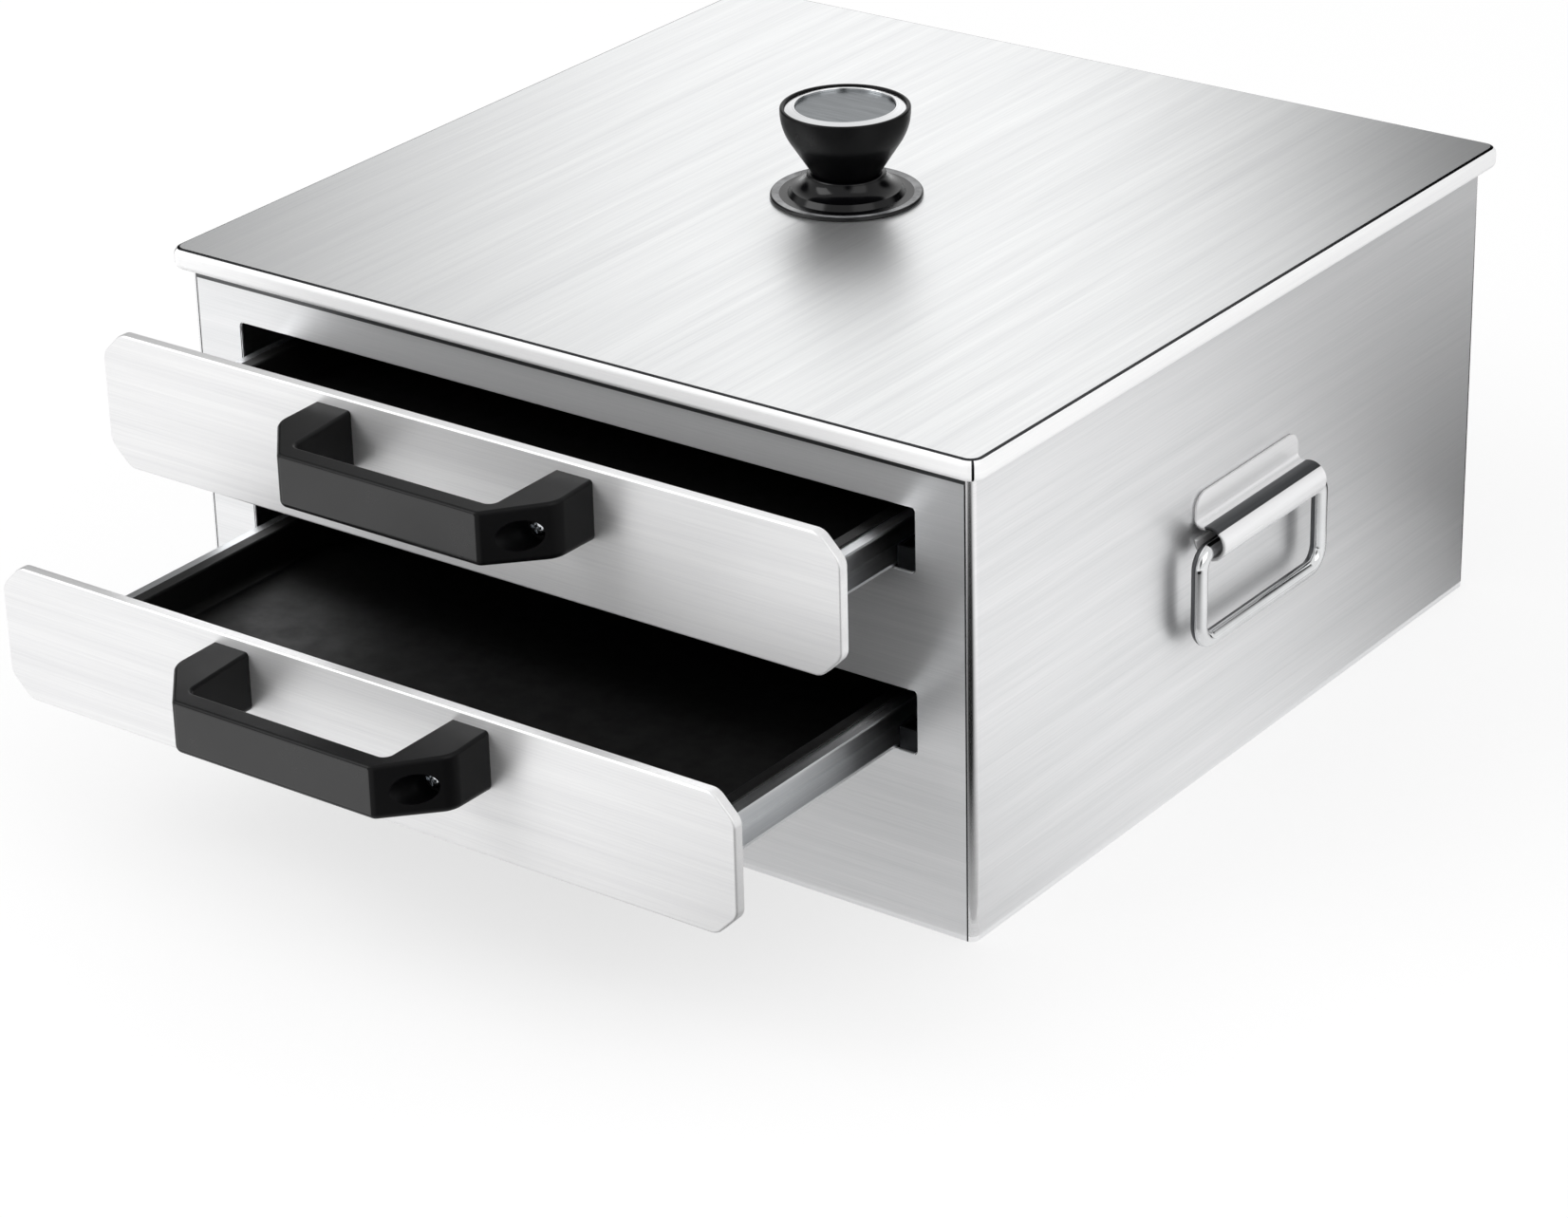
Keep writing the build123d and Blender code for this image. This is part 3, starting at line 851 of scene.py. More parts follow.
@dataclass
class Body(SubAssembly):
    """The wrapped box with its two slots, its pan and its runners.

    Attributes:
        sheet: The wall's thickness.
        skin_share: The share of it that the skin gets, which keeps folded layers apart.
        bend: The outside radius of the upright bends.
        hem: How far the top edge is folded down inside.
        hem_round: The round of that fold.
        slot_corner: The radius of a slot's corners.
        slot_round: The round of a slot's rim.
        slot_lip: How far a slot's top and bottom are folded in.
        slot_side_gap: From a channel to the end of its slot.
        slot_sill_gap: From a channel down to the edge of its slot.
        slot_height: The height of a slot.
        bend_share: The least part of X and of Y in a face's normal that makes it an upright bend.
        crease_share: The part of Y in its normal, past which a bend's face gets the painted dark
            line, and a face in the band under the lid gets the painted shadow.
        stain: How far under the lid's edge the painted shadow of the lid starts and ends.
    """

    sheet: float = 1.0
    skin_share: float = 0.97
    bend: float = 3.0
    hem: float = 9.0
    hem_round: float = 0.9
    slot_corner: float = 1.5
    slot_round: float = 0.5
    slot_lip: float = 6.0
    slot_side_gap: float = 3.5
    slot_sill_gap: float = 0.5
    slot_height: float = 23.5
    bend_share: float = 0.08
    crease_share: float = -0.96
    stain: tuple[float, float] = (1.0, 3.5)

    def build(self) -> None:
        """Makes the shell and dresses the pieces that stay."""
        shell = self.place(self.shell(), "wrapped_shell", "body_shell", WALL_STEEL, Slot.SHEET)
        self.zone(shell, BURNISHED_BEND, self.is_bend)
        # painted dark reflection: a dark line on the front of each corner bend
        self.zone(shell, PAINTED_DARK_LINE, lambda face: self.is_bend(face)
                  and face.normal.y < self.crease_share)
        # painted shadow of the lid: a grey band on the front wall under its edge
        top, bottom = [z * MM for z in self.stain_line()]
        self.zone(shell, PAINTED_LID_SHADOW, lambda face: bottom < face.center.z < top
                  and face.normal.y < self.crease_share)
        # near-black inside: scale, and painted shade
        self.redress("base_pan", SCALED_AND_SHADED_STEEL)
        for row in Row:
            for side in Side:
                self.redress(f"{row.value}_{side.word}_runner", SCALED_AND_SHADED_STEEL)

    def is_bend(self, face: MeshPolygon) -> bool:
        """True for a face of an upright bend."""
        return min(abs(face.normal.x), abs(face.normal.y)) > self.bend_share

    def stain_line(self) -> tuple[float, float]:
        """The heights of the top and the bottom of the painted shadow under the lid's edge."""
        low = span_of("lid_sheet").low.z
        return low - self.stain[0], low - self.stain[1]

    def shell(self) -> BMesh:
        """The walls as one skin, cut for the slots, hemmed, and then given their thickness.

        Returns:
            The mesh, in millimetres.
        """
        box = span_of("body_shell")
        bm = block(box.size, box.centre)
        round_edges(bm, [e for e in bm.edges if is_upright(e)], self.bend, segments=8)
        caps = [f for f in bm.faces if abs(f.normal.z) > FACING]
        front = min(bm.faces, key=lambda f: f.normal.y)
        outline = list(front.edges)
        bmesh.ops.delete(bm, geom=caps + [front], context="FACES_ONLY")
        slots = [self.slot_loop(bm, row, box.low.y) for row in Row]
        rims = [edge for loop in slots for edge in loop]
        bmesh.ops.triangle_fill(bm, use_beauty=True, use_dissolve=False,
                                edges=outline + rims, normal=(0.0, -1.0, 0.0))
        # cuts the front wall where the painted shadow starts and ends
        for height in self.stain_line():
            bmesh.ops.bisect_plane(bm, geom=[*bm.verts, *bm.edges, *bm.faces],
                                   plane_co=(0, 0, height), plane_no=(0, 0, 1))
        for loop in slots:
            self.fold_slot(bm, loop)
        self.fold_hem(bm, box)
        thicken(bm, self.sheet * self.skin_share, (1, 0, 0))
        return bm

    def slot_loop(self, bm: BMesh, row: Row, front_y: float) -> list[BMEdge]:
        """Draws the outline of a slot in the front wall.

        Args:
            bm: The mesh that gets the outline.
            row: The drawer that the slot lets through.
            front_y: The plane of the front wall.

        Returns:
            The outline's edges.
        """
        left, right = (span_of(f"{row.value}_{side.word}_channel") for side in Side)
        width = right.high.x - left.low.x + 2 * self.slot_side_gap
        middle = left.low.z - self.slot_sill_gap + self.slot_height / 2
        return open_loop(bm, plate(bm, width, self.slot_height, self.slot_corner, segments=4,
                                   place=upright(0, front_y, middle)))

    def fold_slot(self, bm: BMesh, loop: list[BMEdge]) -> None:
        """Turns a slot's rim in: all round by the sheet, and further at the top and bottom.

        Args:
            bm: The skin.
            loop: The slot's outline.
        """
        inner = pull(bm, loop, (0, self.sheet, 0))
        level = [e for e in inner if abs(e.verts[0].co.z - e.verts[1].co.z) < NEAR
                 and e.calc_length() > self.slot_height]
        pull(bm, level, (0, self.slot_lip, 0))
        round_edges(bm, loop, self.slot_round, segments=3)

    def fold_hem(self, bm: BMesh, box: Span) -> None:
        """Folds the top edge in by two sheets and down.

        Args:
            bm: The skin.
            box: The box of the walls.
        """
        top = [e for e in bm.edges if e.is_boundary
               and min(v.co.z for v in e.verts) > box.high.z - NEAR]
        middle = Vector((box.centre.x, box.centre.y, box.high.z))
        shrink = [1 - 4 * self.sheet / side for side in box.size[:2]]
        inner = pull(bm, top, (0, 0, 0), (*shrink, 1.0), middle)
        pull(bm, inner, (0, 0, -self.hem))
        round_edges(bm, top + inner, self.hem_round, segments=3)


# ---------------------------------------------------------------------------------------------
# Side handles
# ---------------------------------------------------------------------------------------------


@dataclass
class CarryHandle(SubAssembly):
    """A strap rolled into a barrel on a side wall, and the rod ring that swings in it.

    Attributes:
        side: Which end of the box it is on.
        sheet: The strap's thickness.
        bend: The radius of the strap's outward bend, at its middle.
        barrel: The barrel's outer diameter.
        wall_gap: From the wall to the barrel.
        sweep: How far round the barrel goes, in degrees.
        corner: The radius of the strap's upper corners.
        top_round: The radius of the ring's upper bends.
        bottom_round: The radius of the ring's lower bends.
        dull_from: From the barrel's underside up to the painted dark stripe along its top.
        dull_gap: From the wall out to that stripe.
        dull_side: The outward part of its normal, below which the ring's surface is painted darker
            as shade.
        rod_steps: Steps round the ring's rod.
    """

    side: Side
    sheet: float = 1.2
    bend: float = 3.0
    barrel: float = 13.0
    wall_gap: float = 0.4
    sweep: float = 295.0
    corner: float = 6.0
    top_round: float = 6.0
    bottom_round: float = 8.0
    dull_from: float = 11.2
    dull_gap: float = 4.7
    dull_side: float = 0.0
    rod_steps: int = 28

    def build(self) -> None:
        """Makes the strap on the body and the ring on its own body."""
        word = self.side.word
        node = f"{word}_handle_strap"
        # painted highlight: the strap is near-matt white
        strap = self.place(self.strap(), f"{word}_strap", node, STRAP_STEEL, Slot.SHEET)
        # painted dark reflection along the top of the barrel
        low = (span_of(node).low.z + self.dull_from) * MM
        out = (span_of("body_shell").high.x + self.dull_gap) * MM
        self.zone(strap, ROLL_TOP_PAINTED_SHADE, lambda face: face.center.z > low
                  and abs(face.center.x) > out)
        sheet = strap.modifiers.new("sheet", "SOLIDIFY")
        sheet.thickness = self.sheet * MM
        sheet.offset = 0.0
        strap.modifiers.move(len(strap.modifiers) - 1, 0)  # before the one that evens the shading
        self.body = f"{word}_bail"
        ring = self.place(self.ring(), f"{word}_ring", f"{word}_handle_bail", ROD_STEEL, Slot.ROD)
        # painted shade on the side of the ring that faces the wall
        self.zone(ring, ROD_PAINTED_SHADE, lambda face: face.normal.x * self.side.value
                  < self.dull_side)

    def strap(self) -> BMesh:
        """The strap's middle skin: flat on the wall, bent out, and rolled.

        Returns:
            The mesh, in millimetres, on this handle's side.
        """
        box = span_of("right_handle_strap")
        wall = span_of("body_shell").high.x
        roll = (self.barrel - self.sheet) / 2
        barrel_x = wall + self.wall_gap + self.barrel / 2
        barrel_z = box.low.z + self.barrel / 2
        flat_x = wall + self.sheet / 2
        bend_x = flat_x + self.bend
        bend_z = barrel_z + math.sqrt((self.bend + roll) ** 2 - (bend_x - barrel_x) ** 2)
        join = math.degrees(math.acos((bend_x - barrel_x) / (self.bend + roll)))
        path = [(flat_x, box.high.z)]
        path += arc((bend_x, bend_z), self.bend, 180.0, 180.0 + join, steps=8)
        path += arc((barrel_x, barrel_z), roll, join, join - self.sweep, steps=40)[1:]
        bm = bmesh.new()
        edges = chain(bm, [(x, box.low.y, z) for x, z in path])
        pull(bm, edges, (0, box.size.y, 0))
        top = [v for v in bm.verts if v.co.z > box.high.z - NEAR]
        round_corners(bm, top, self.corner, segments=6)
        return self.on_side(bm)

    def ring(self) -> BMesh:
        """A closed ring: straight runs and bends of round rod.

        Returns:
            The mesh, in millimetres, on this handle's side.
        """
        box = span_of("right_handle_bail")
        rod = box.size.x / 2
        bm = bmesh.new()
        low = Vector((box.centre.x, box.low.y + rod, box.low.z + rod))
        high = Vector((box.centre.x, box.high.y - rod, box.high.z - rod))
        tip = bmesh.ops.create_circle(bm, cap_ends=False, segments=self.rod_steps,
                                      radius=rod)["verts"]
        bmesh.ops.transform(bm, matrix=upright(low.x, low.y + self.bottom_round, low.z),
                            verts=tip)
        loop = list({e for v in tip for e in v.link_edges})
        deep = high.y - low.y
        rise = high.z - low.z - self.bottom_round - self.top_round
        for direction, length, bend in (
            (Vector((0, 1, 0)), deep - 2 * self.bottom_round, self.bottom_round),
            (Vector((0, 0, 1)), rise, self.top_round),
            (Vector((0, -1, 0)), deep - 2 * self.top_round, self.top_round),
            (Vector((0, 0, -1)), rise, self.bottom_round),
        ):
            loop = pull(bm, loop, direction * length)
            middle = sum((v.co for e in loop for v in e.verts), Vector()) / (2 * len(loop))
            pivot = middle + Vector((1, 0, 0)).cross(direction) * bend
            made = bmesh.ops.spin(bm, geom=list({v for e in loop for v in e.verts}) + loop,
                                  cent=pivot, axis=(1, 0, 0), dvec=(0, 0, 0), angle=QUARTER,
                                  steps=12, use_merge=False, use_duplicate=False)["geom_last"]
            loop = of_kind(made, BMEdge)
        tidy(bm)
        return self.on_side(bm)

    def on_side(self, bm: BMesh) -> BMesh:
        """Mirrors a right-hand mesh for the left.

        Args:
            bm: The mesh as it is on the right.

        Returns:
            The same mesh, on this handle's side.
        """
        if self.side is Side.LEFT:
            bmesh.ops.scale(bm, vec=(-1, 1, 1), verts=bm.verts)
            bmesh.ops.reverse_faces(bm, faces=bm.faces)
        return bm


# ---------------------------------------------------------------------------------------------
# Lid
# ---------------------------------------------------------------------------------------------


@dataclass
class Lid(SubAssembly):
    """The loose lid: a flat sheet with a curled edge.

    Attributes:
        sheet: The sheet's thickness.
        corner: The radius of its corners.
        curl: The radius of the curl's shoulders.
        curl_below: Half of what the curl reaches below the CAD sheet's box.
        curl_steps: Steps in a quarter of the curl.
        open_steps: Steps of the curl that are left out underneath.
        flat_above: The upward part of a face's normal, above which it is the flat.
        crease_above: The same for the painted dark reflection line along the crease. Faces below it
            are the rolled edge, with its painted highlight.
        mitre: The angles between which a corner's faces get the painted dark line too, in degrees.
    """

    sheet: float = 0.8
    corner: float = 6.0
    curl: float = 2.5
    curl_below: float = 0.05
    curl_steps: int = 13
    open_steps: int = 2
    flat_above: float = 0.985
    crease_above: float = 0.8
    mitre: tuple[float, float] = (37.0, 45.0)
    body: str = "lid"

    def build(self) -> None:
        """Makes the lid's sheet, with a finish for its flat, a painted dark reflection line along
        its crease and at its corners, and a painted highlight on its edge.
        """
        lid = self.place(self.curled_sheet(), "curled_lid", "lid_sheet", LID_STEEL, Slot.SHEET)
        # painted light on the lid: a dark reflection line along the crease and at the corners
        self.zone(lid, PAINTED_DARK_LINE, lambda face: face.normal.z <= self.flat_above)
        # painted highlight: the rolled edge in near-matt white
        self.zone(lid, ROLLED_EDGE_PAINTED_HIGHLIGHT, lambda face: face.normal.z <= self.crease_above)
        self.zone(lid, PAINTED_DARK_LINE, self.in_mitre)

    def in_mitre(self, face: MeshPolygon) -> bool:
        """True for a face at a corner where two rolled edges meet, which gets the painted dark
        line.
        """
        turn = math.degrees(math.atan2(abs(face.normal.x), abs(face.normal.y)))
        return abs(face.normal.z) < self.crease_above and self.mitre[0] < turn < self.mitre[1]

    def curled_sheet(self) -> BMesh:
        """A box whose edges are rounded to a flattened curl, opened underneath.

        Returns:
            The mesh, in millimetres.
        """
        box = span_of("lid_sheet")
        edge = 2 * round(box.size.z / 2 + self.curl_below, 2)
        bottom = box.high.z - edge
        bm = block((box.size.x, box.size.y, edge),
                   (box.centre.x, box.centre.y, box.high.z - edge / 2))
        round_edges(bm, [e for e in bm.edges if is_upright(e)], self.corner, segments=10)
        round_edges(bm, [e for e in bm.edges if not is_upright(e)], self.curl, self.curl_steps)
        hidden = QUARTER / self.curl_steps * (self.open_steps - 0.5)
        lip = bottom + self.curl * (1 - math.cos(hidden))
        under = [f for f in bm.faces if f.calc_center_median().z < lip]
        bmesh.ops.delete(bm, geom=under, context="FACES")
        thicken(bm, self.sheet, (0, 0, 1))
        return bm


@dataclass
class Knob(SubAssembly):
    """The moulded knob: a saucer with a collar, a flared grip, and a ring round a disc.

    Attributes:
        lip: The thickness of the saucer's edge.
        shoulder: Points where the saucer's top rises from its edge: how far in, and the share of
            the edge's thickness.
        crown: The height of the saucer at its collar.
        hollow: The radius of the hollow that sweeps up to the collar.
        hollow_dip: How far the hollow dips under the crown.
        hollow_sweep: The angles where it starts and ends, in degrees.
        collar_radius: The collar's radius.
        collar_height: The collar's height.
        collar_round: The round of its top.
        waist_radius: The grip's radius at its foot.
        foot_cut: The cut edge of the grip's foot: how far in and how high.
        flare_height: The height of the grip's slanted side, up to where it would meet the rim.
        flare_round: The radius of the bend between that side and the rim.
        rim_wall: The wall of the grip round the ring.
        rim_rounds: The rounds of that wall's outer and inner edge.
        ring_width: The width of the ring.
        ring_depth: How deep the ring is set.
        ring_slope: How far the ring's top falls to the grip's rim.
        ring_rounds: The rounds of the ring's outer and inner edge.
        disc_cut: The broken edge of the disc.
        rubbed: The saucer's painted highlight, in from its edge: where it starts and ends.
        steps: Steps in a full turn.
    """

    lip: float = 1.6
    shoulder: tuple[Point, Point] = ((3.4, 0.82), (6.5, 0.95))
    crown: float = 4.2
    hollow: float = 7.0
    hollow_dip: float = 0.6
    hollow_sweep: tuple[float, float] = (262.0, 196.0)
    collar_radius: float = 14.5
    collar_height: float = 9.4
    collar_round: float = 0.9
    waist_radius: float = 13.0
    foot_cut: Point = (0.5, 0.45)
    flare_height: float = 18.0
    flare_round: float = 21.0
    rim_wall: float = 1.5
    rim_rounds: tuple[float, float] = (0.75, 0.3)
    ring_width: float = 4.0
    ring_depth: float = 1.5
    ring_slope: float = 1.0
    ring_rounds: tuple[float, float] = (0.3, 0.4)
    disc_cut: float = 0.12
    rubbed: tuple[float, float] = (1.0, 4.4)
    steps: int = 96
    body: str = "lid"

    def build(self) -> None:
        """Makes the knob's four pieces that show and dresses the rest."""
        saucer = self.place(self.saucer(), "knob_saucer", "knob_base", BUFFED_BAKELITE,
                            Slot.BAKELITE)
        edge = span_of("knob_base").size.x / 2
        low, high = [(edge - inset) * MM for inset in reversed(self.rubbed)]
        # painted highlight: a pale ring near the saucer's edge
        self.zone(saucer, SAUCER_PAINTED_HIGHLIGHT, lambda face: face.normal.z > 0
                  and low < face.center.xy.length < high)
        self.place(self.grip(), "knob_flared_grip", "knob_grip", SATIN_BAKELITE, Slot.BAKELITE)
        self.place(self.ring(), "knob_bright_ring", "knob_ring", RING_METAL, Slot.RING)
        self.place(self.disc(), "knob_dark_disc", "knob_disc", DISC_METAL, Slot.DISC)
        self.redress("knob_insert", BRASS)
        self.redress("knob_washer", ZINC_PLATE)
        self.redress("knob_screw", ZINC_PLATE)

    def turn(self, profile: Sequence[Point], node: str) -> BMesh:
        """Turns a profile about the axis of a node, from its foot up."""
        box = span_of(node)
        return turned(profile, Vector((*box.centre.xy, box.low.z)), self.steps)

    def saucer(self) -> BMesh:
        """A thin saucer with a beaded edge, hollowed up to a collar.

        Returns:
            The mesh, in millimetres.
        """
        radius = span_of("knob_base").size.x / 2
        bead = self.lip / 2
        hollow = (self.collar_radius + self.hollow, self.crown + self.hollow - self.hollow_dip)
        top = self.collar_height - self.collar_round
        profile = [(0.0, 0.0)] + arc((radius - bead, bead), bead, -90.0, 80.0, steps=12)
        profile += [(radius - inset, self.lip * share) for inset, share in self.shoulder]
        profile += arc(hollow, self.hollow, *self.hollow_sweep, steps=10)
        profile += arc((self.collar_radius - self.collar_round, top), self.collar_round,
                       0.0, 90.0, steps=5)
        profile += [(0.0, self.collar_height)]
        return self.turn(profile, "knob_base")

    def grip(self) -> BMesh:
        """A cone that bends up into a rim, with a stepped seat inside.

        Returns:
            The mesh, in millimetres.
        """
        size = span_of("knob_grip").size
        rim, height = size.x / 2, size.z
        lean = math.atan2(self.flare_height, rim - self.waist_radius)
        reach = self.flare_round * math.tan((math.pi / 2 - lean) / 2)
        centre = (rim - self.flare_round, self.flare_height + reach)
        outer, inner = self.rim_rounds
        seat = height - self.ring_depth
        profile = [(0.0, 0.0), (self.waist_radius - self.foot_cut[0], 0.0),
                   (self.waist_radius, self.foot_cut[1])]
        profile += arc(centre, self.flare_round, math.degrees(lean) - 90.0, 0.0, steps=16)
        profile += arc((rim - outer, height - outer), outer, 0.0, 90.0, steps=6)
        profile += arc((rim - self.rim_wall + inner, height - inner), inner, 90.0, 180.0,
                       steps=3)
        profile += [(rim - self.rim_wall, seat), (0.0, seat)]
        return self.turn(profile, "knob_grip")

    def ring(self) -> BMesh:
        """A bright ring whose top slopes down from the disc to the grip's rim.

        Returns:
            The mesh, in millimetres.
        """
        size = span_of("knob_ring").size
        outer, height = size.x / 2, size.z
        inner = outer - self.ring_width
        low = height - self.ring_slope
        small, large = self.ring_rounds
        profile = [(inner, 0.0), (outer, 0.0)]
        profile += arc((outer - small, low - small), small, 0.0, 70.0, steps=4)
        profile += arc((inner + large, height - large), large, 80.0, 180.0, steps=5)
        return self.turn(profile + [(inner, 0.0)], "knob_ring")

    def disc(self) -> BMesh:
        """A thin disc with a broken edge.

        Returns:
            The mesh, in millimetres.
        """
        size = span_of("knob_disc").size
        radius, height = size.x / 2, size.z
        profile = [(0.0, 0.0), (radius, 0.0), (radius, height - self.disc_cut),
                   (radius - self.disc_cut, height), (0.0, height)]
        return self.turn(profile, "knob_disc")


# ---------------------------------------------------------------------------------------------
# Drawers
# ---------------------------------------------------------------------------------------------


@dataclass
class BowHandle:
    """A moulded bow: two feet, slanted legs and a straight grip.

    Attributes:
        front_width: The width of the grip's front face.
        foot_inset: How far each foot's outer side is inside the box.
        shoulder: How far out the legs turn in.
        shoulder_out: How far the shoulder's corner is outside the box, before it is rounded.
        grip: The depth of the grip.
        foot: The width of each foot.
        front_height: The height of the grip, less than at the feet.
        front_round: The radius of the grip's outer corners.
        shoulder_round: The radius of the shoulders.
        inner_round: The radius of the inner corners.
        edge_round: The round of the upper edges.
        low_round: The round of the lower edges, which the hand closes on.
        recess: The diameter of the hole that a screw's head sinks into.
        screw_seat: How far the head's seat is from the front.
        screw_head: The diameter of a screw's head.
        screw_head_height: The height of a screw's head.
        screw_dome: The head's profile, as shares of its radius and height.
        screw_shank: The diameter of a screw's shank.
        screw_cut: The cut edge at the shank's end.
        cross: The width and the length of an arm of the cross in a screw's head.
        cross_depth: The depth of that cross.
        gripped: The part of Y in its normal, past which a face is the grip's front, with the
            painted sheen.
    """

    front_width: float = 86.4
    foot_inset: float = 0.4
    shoulder: float = 19.0
    shoulder_out: float = 0.1
    grip: float = 8.0
    foot: float = 16.0
    front_height: float = 20.0
    front_round: float = 3.0
    shoulder_round: float = 9.0
    inner_round: float = 3.0
    edge_round: float = 1.3
    low_round: float = 3.0
    recess: float = 11.0
    screw_seat: float = 18.0
    screw_head: float = 7.6
    screw_head_height: float = 2.6
    screw_dome: tuple[Point, ...] = ((0.45, 0.97), (0.78, 0.78), (0.95, 0.42))
    screw_shank: float = 4.0
    screw_cut: float = 0.5
    cross: tuple[float, float] = (1.0, 4.4)
    cross_depth: float = 1.1
    gripped: float = -0.97

    def bow(self, name: str, box: Span) -> Object:
        """The bow, with a round recess in front of each screw.

        Args:
            name: The handle's name.
            box: The box of the CAD node.

        Returns:
            The handle as an object in metres.
        """
        base, front = box.size.x / 2 - self.foot_inset, self.front_width / 2
        y, reach = box.high.y, box.size.y
        half = [(base - self.foot, y), (base, y),
                (box.size.x / 2 + self.shoulder_out, y - self.shoulder), (front, y - reach)]
        outline = half + [(-px, py) for px, py in reversed(half)]
        outline += [(-front, y - reach + self.grip), (front, y - reach + self.grip)]
        bm = bmesh.new()
        face = bm.faces.new([bm.verts.new((px, py, box.low.z)) for px, py in outline])
        made = bmesh.ops.extrude_face_region(bm, geom=[face])["geom"]
        bmesh.ops.translate(bm, vec=(0, 0, box.size.z), verts=of_kind(made, BMVert))
        bmesh.ops.recalc_face_normals(bm, faces=bm.faces)
        middle = Matrix.Translation((0, 0, -box.centre.z))
        for vert in list(bm.verts):
            share = (y - vert.co.y) / reach
            height = 1 + share * (self.front_height / box.size.z - 1)
            bmesh.ops.scale(bm, vec=(1, 1, height), space=middle, verts=[vert])
        for at, radius, turn in self.corners(half, y, reach):
            edges = [e for e in bm.edges if is_upright(e)
                     and abs(abs(e.verts[0].co.x) - at[0]) < NEAR
                     and abs(e.verts[0].co.y - at[1]) < NEAR]
            round_edges(bm, edges, radius * math.tan(turn / 2), segments=8)
        rims = [e for e in bm.edges if not is_upright(e)
                and sum(abs(f.normal.z) > FACING for f in e.link_faces) == 1
                and min(v.co.y for v in e.verts) < y - NEAR]
        low = [e for e in rims if e.verts[0].co.z < box.centre.z]
        high = [e for e in rims if e.verts[0].co.z > box.centre.z]
        round_edges(bm, high, self.edge_round, segments=4)
        round_edges(bm, low, self.low_round, segments=7)
        handle = mesh_object(bm, name)
        for side in Side:
            tool = bmesh.new()
            bmesh.ops.create_cone(tool, cap_ends=True, segments=40, radius1=self.recess / 2,
                                  radius2=self.recess / 2, depth=2 * reach)
            bmesh.ops.transform(tool, verts=tool.verts, matrix=upright(
                side.value * (base - self.foot / 2), y - self.screw_seat - reach, box.centre.z))
            cut_away(handle, tool)
        return handle

    def corners(self, half: list[Point], y: float,
                reach: float) -> list[tuple[Point, float, float]]:
        """The upright corners to round.

        Args:
            half: The outer points of the right half.
            y: The plane of the feet.
            reach: How far the grip stands out.

        Returns:
            For each corner its place, its radius and how far the outline turns there.
        """
        leg = Vector(half[3]) - Vector(half[2])
        side = Vector(half[2]) - Vector(half[1])
        across = Vector((-1.0, 0.0))
        inner = Vector((half[0][0] - half[3][0], reach - self.grip))
        return [
            (half[3], self.front_round, leg.angle(across)),
            (half[2], self.shoulder_round, side.angle(leg)),
            ((half[3][0], y - reach + self.grip), self.inner_round, inner.angle(-across)),
        ]

    def screws(self, name: str, box: Span, seat: float) -> Object:
        """Two screws with a cross in each head.

        Args:
            name: The screws' name.
            box: The box of the CAD node that holds both.
            seat: Where the underside of each head rests, along Y.

        Returns:
            The screws as one object in metres.
        """
        radius, shank = self.screw_head / 2, self.screw_shank / 2
        tall, length = self.screw_head_height, box.high.y - seat
        profile = [(0.0, -tall)]
        profile += [(radius * out, -tall * up) for out, up in self.screw_dome]
        profile += [(radius, 0.0), (shank, 0.0), (shank, length - self.screw_cut),
                    (shank - self.screw_cut, length), (0.0, length)]
        bm = turned(profile, Vector((0, 0, 0)), steps=32)
        bmesh.ops.transform(bm, matrix=Matrix.Rotation(-QUARTER, 4, "X"), verts=bm.verts)
        first = list(bm.verts)
        copy = bmesh.ops.duplicate(bm, geom=first + list(bm.edges) + list(bm.faces))["geom"]
        right = box.high.x - radius
        bmesh.ops.translate(bm, vec=(right, seat, box.centre.z), verts=first)
        bmesh.ops.translate(bm, vec=(-right, seat, box.centre.z), verts=of_kind(copy, BMVert))
        screws = mesh_object(bm, name)
        wide, long = self.cross
        for side in Side:
            for arm_x, arm_z in ((wide, long), (long, wide)):
                cut_away(screws, block((arm_x, 2 * self.cross_depth, arm_z),
                                       (side.value * right, seat - tall, box.centre.z)))
        return screws


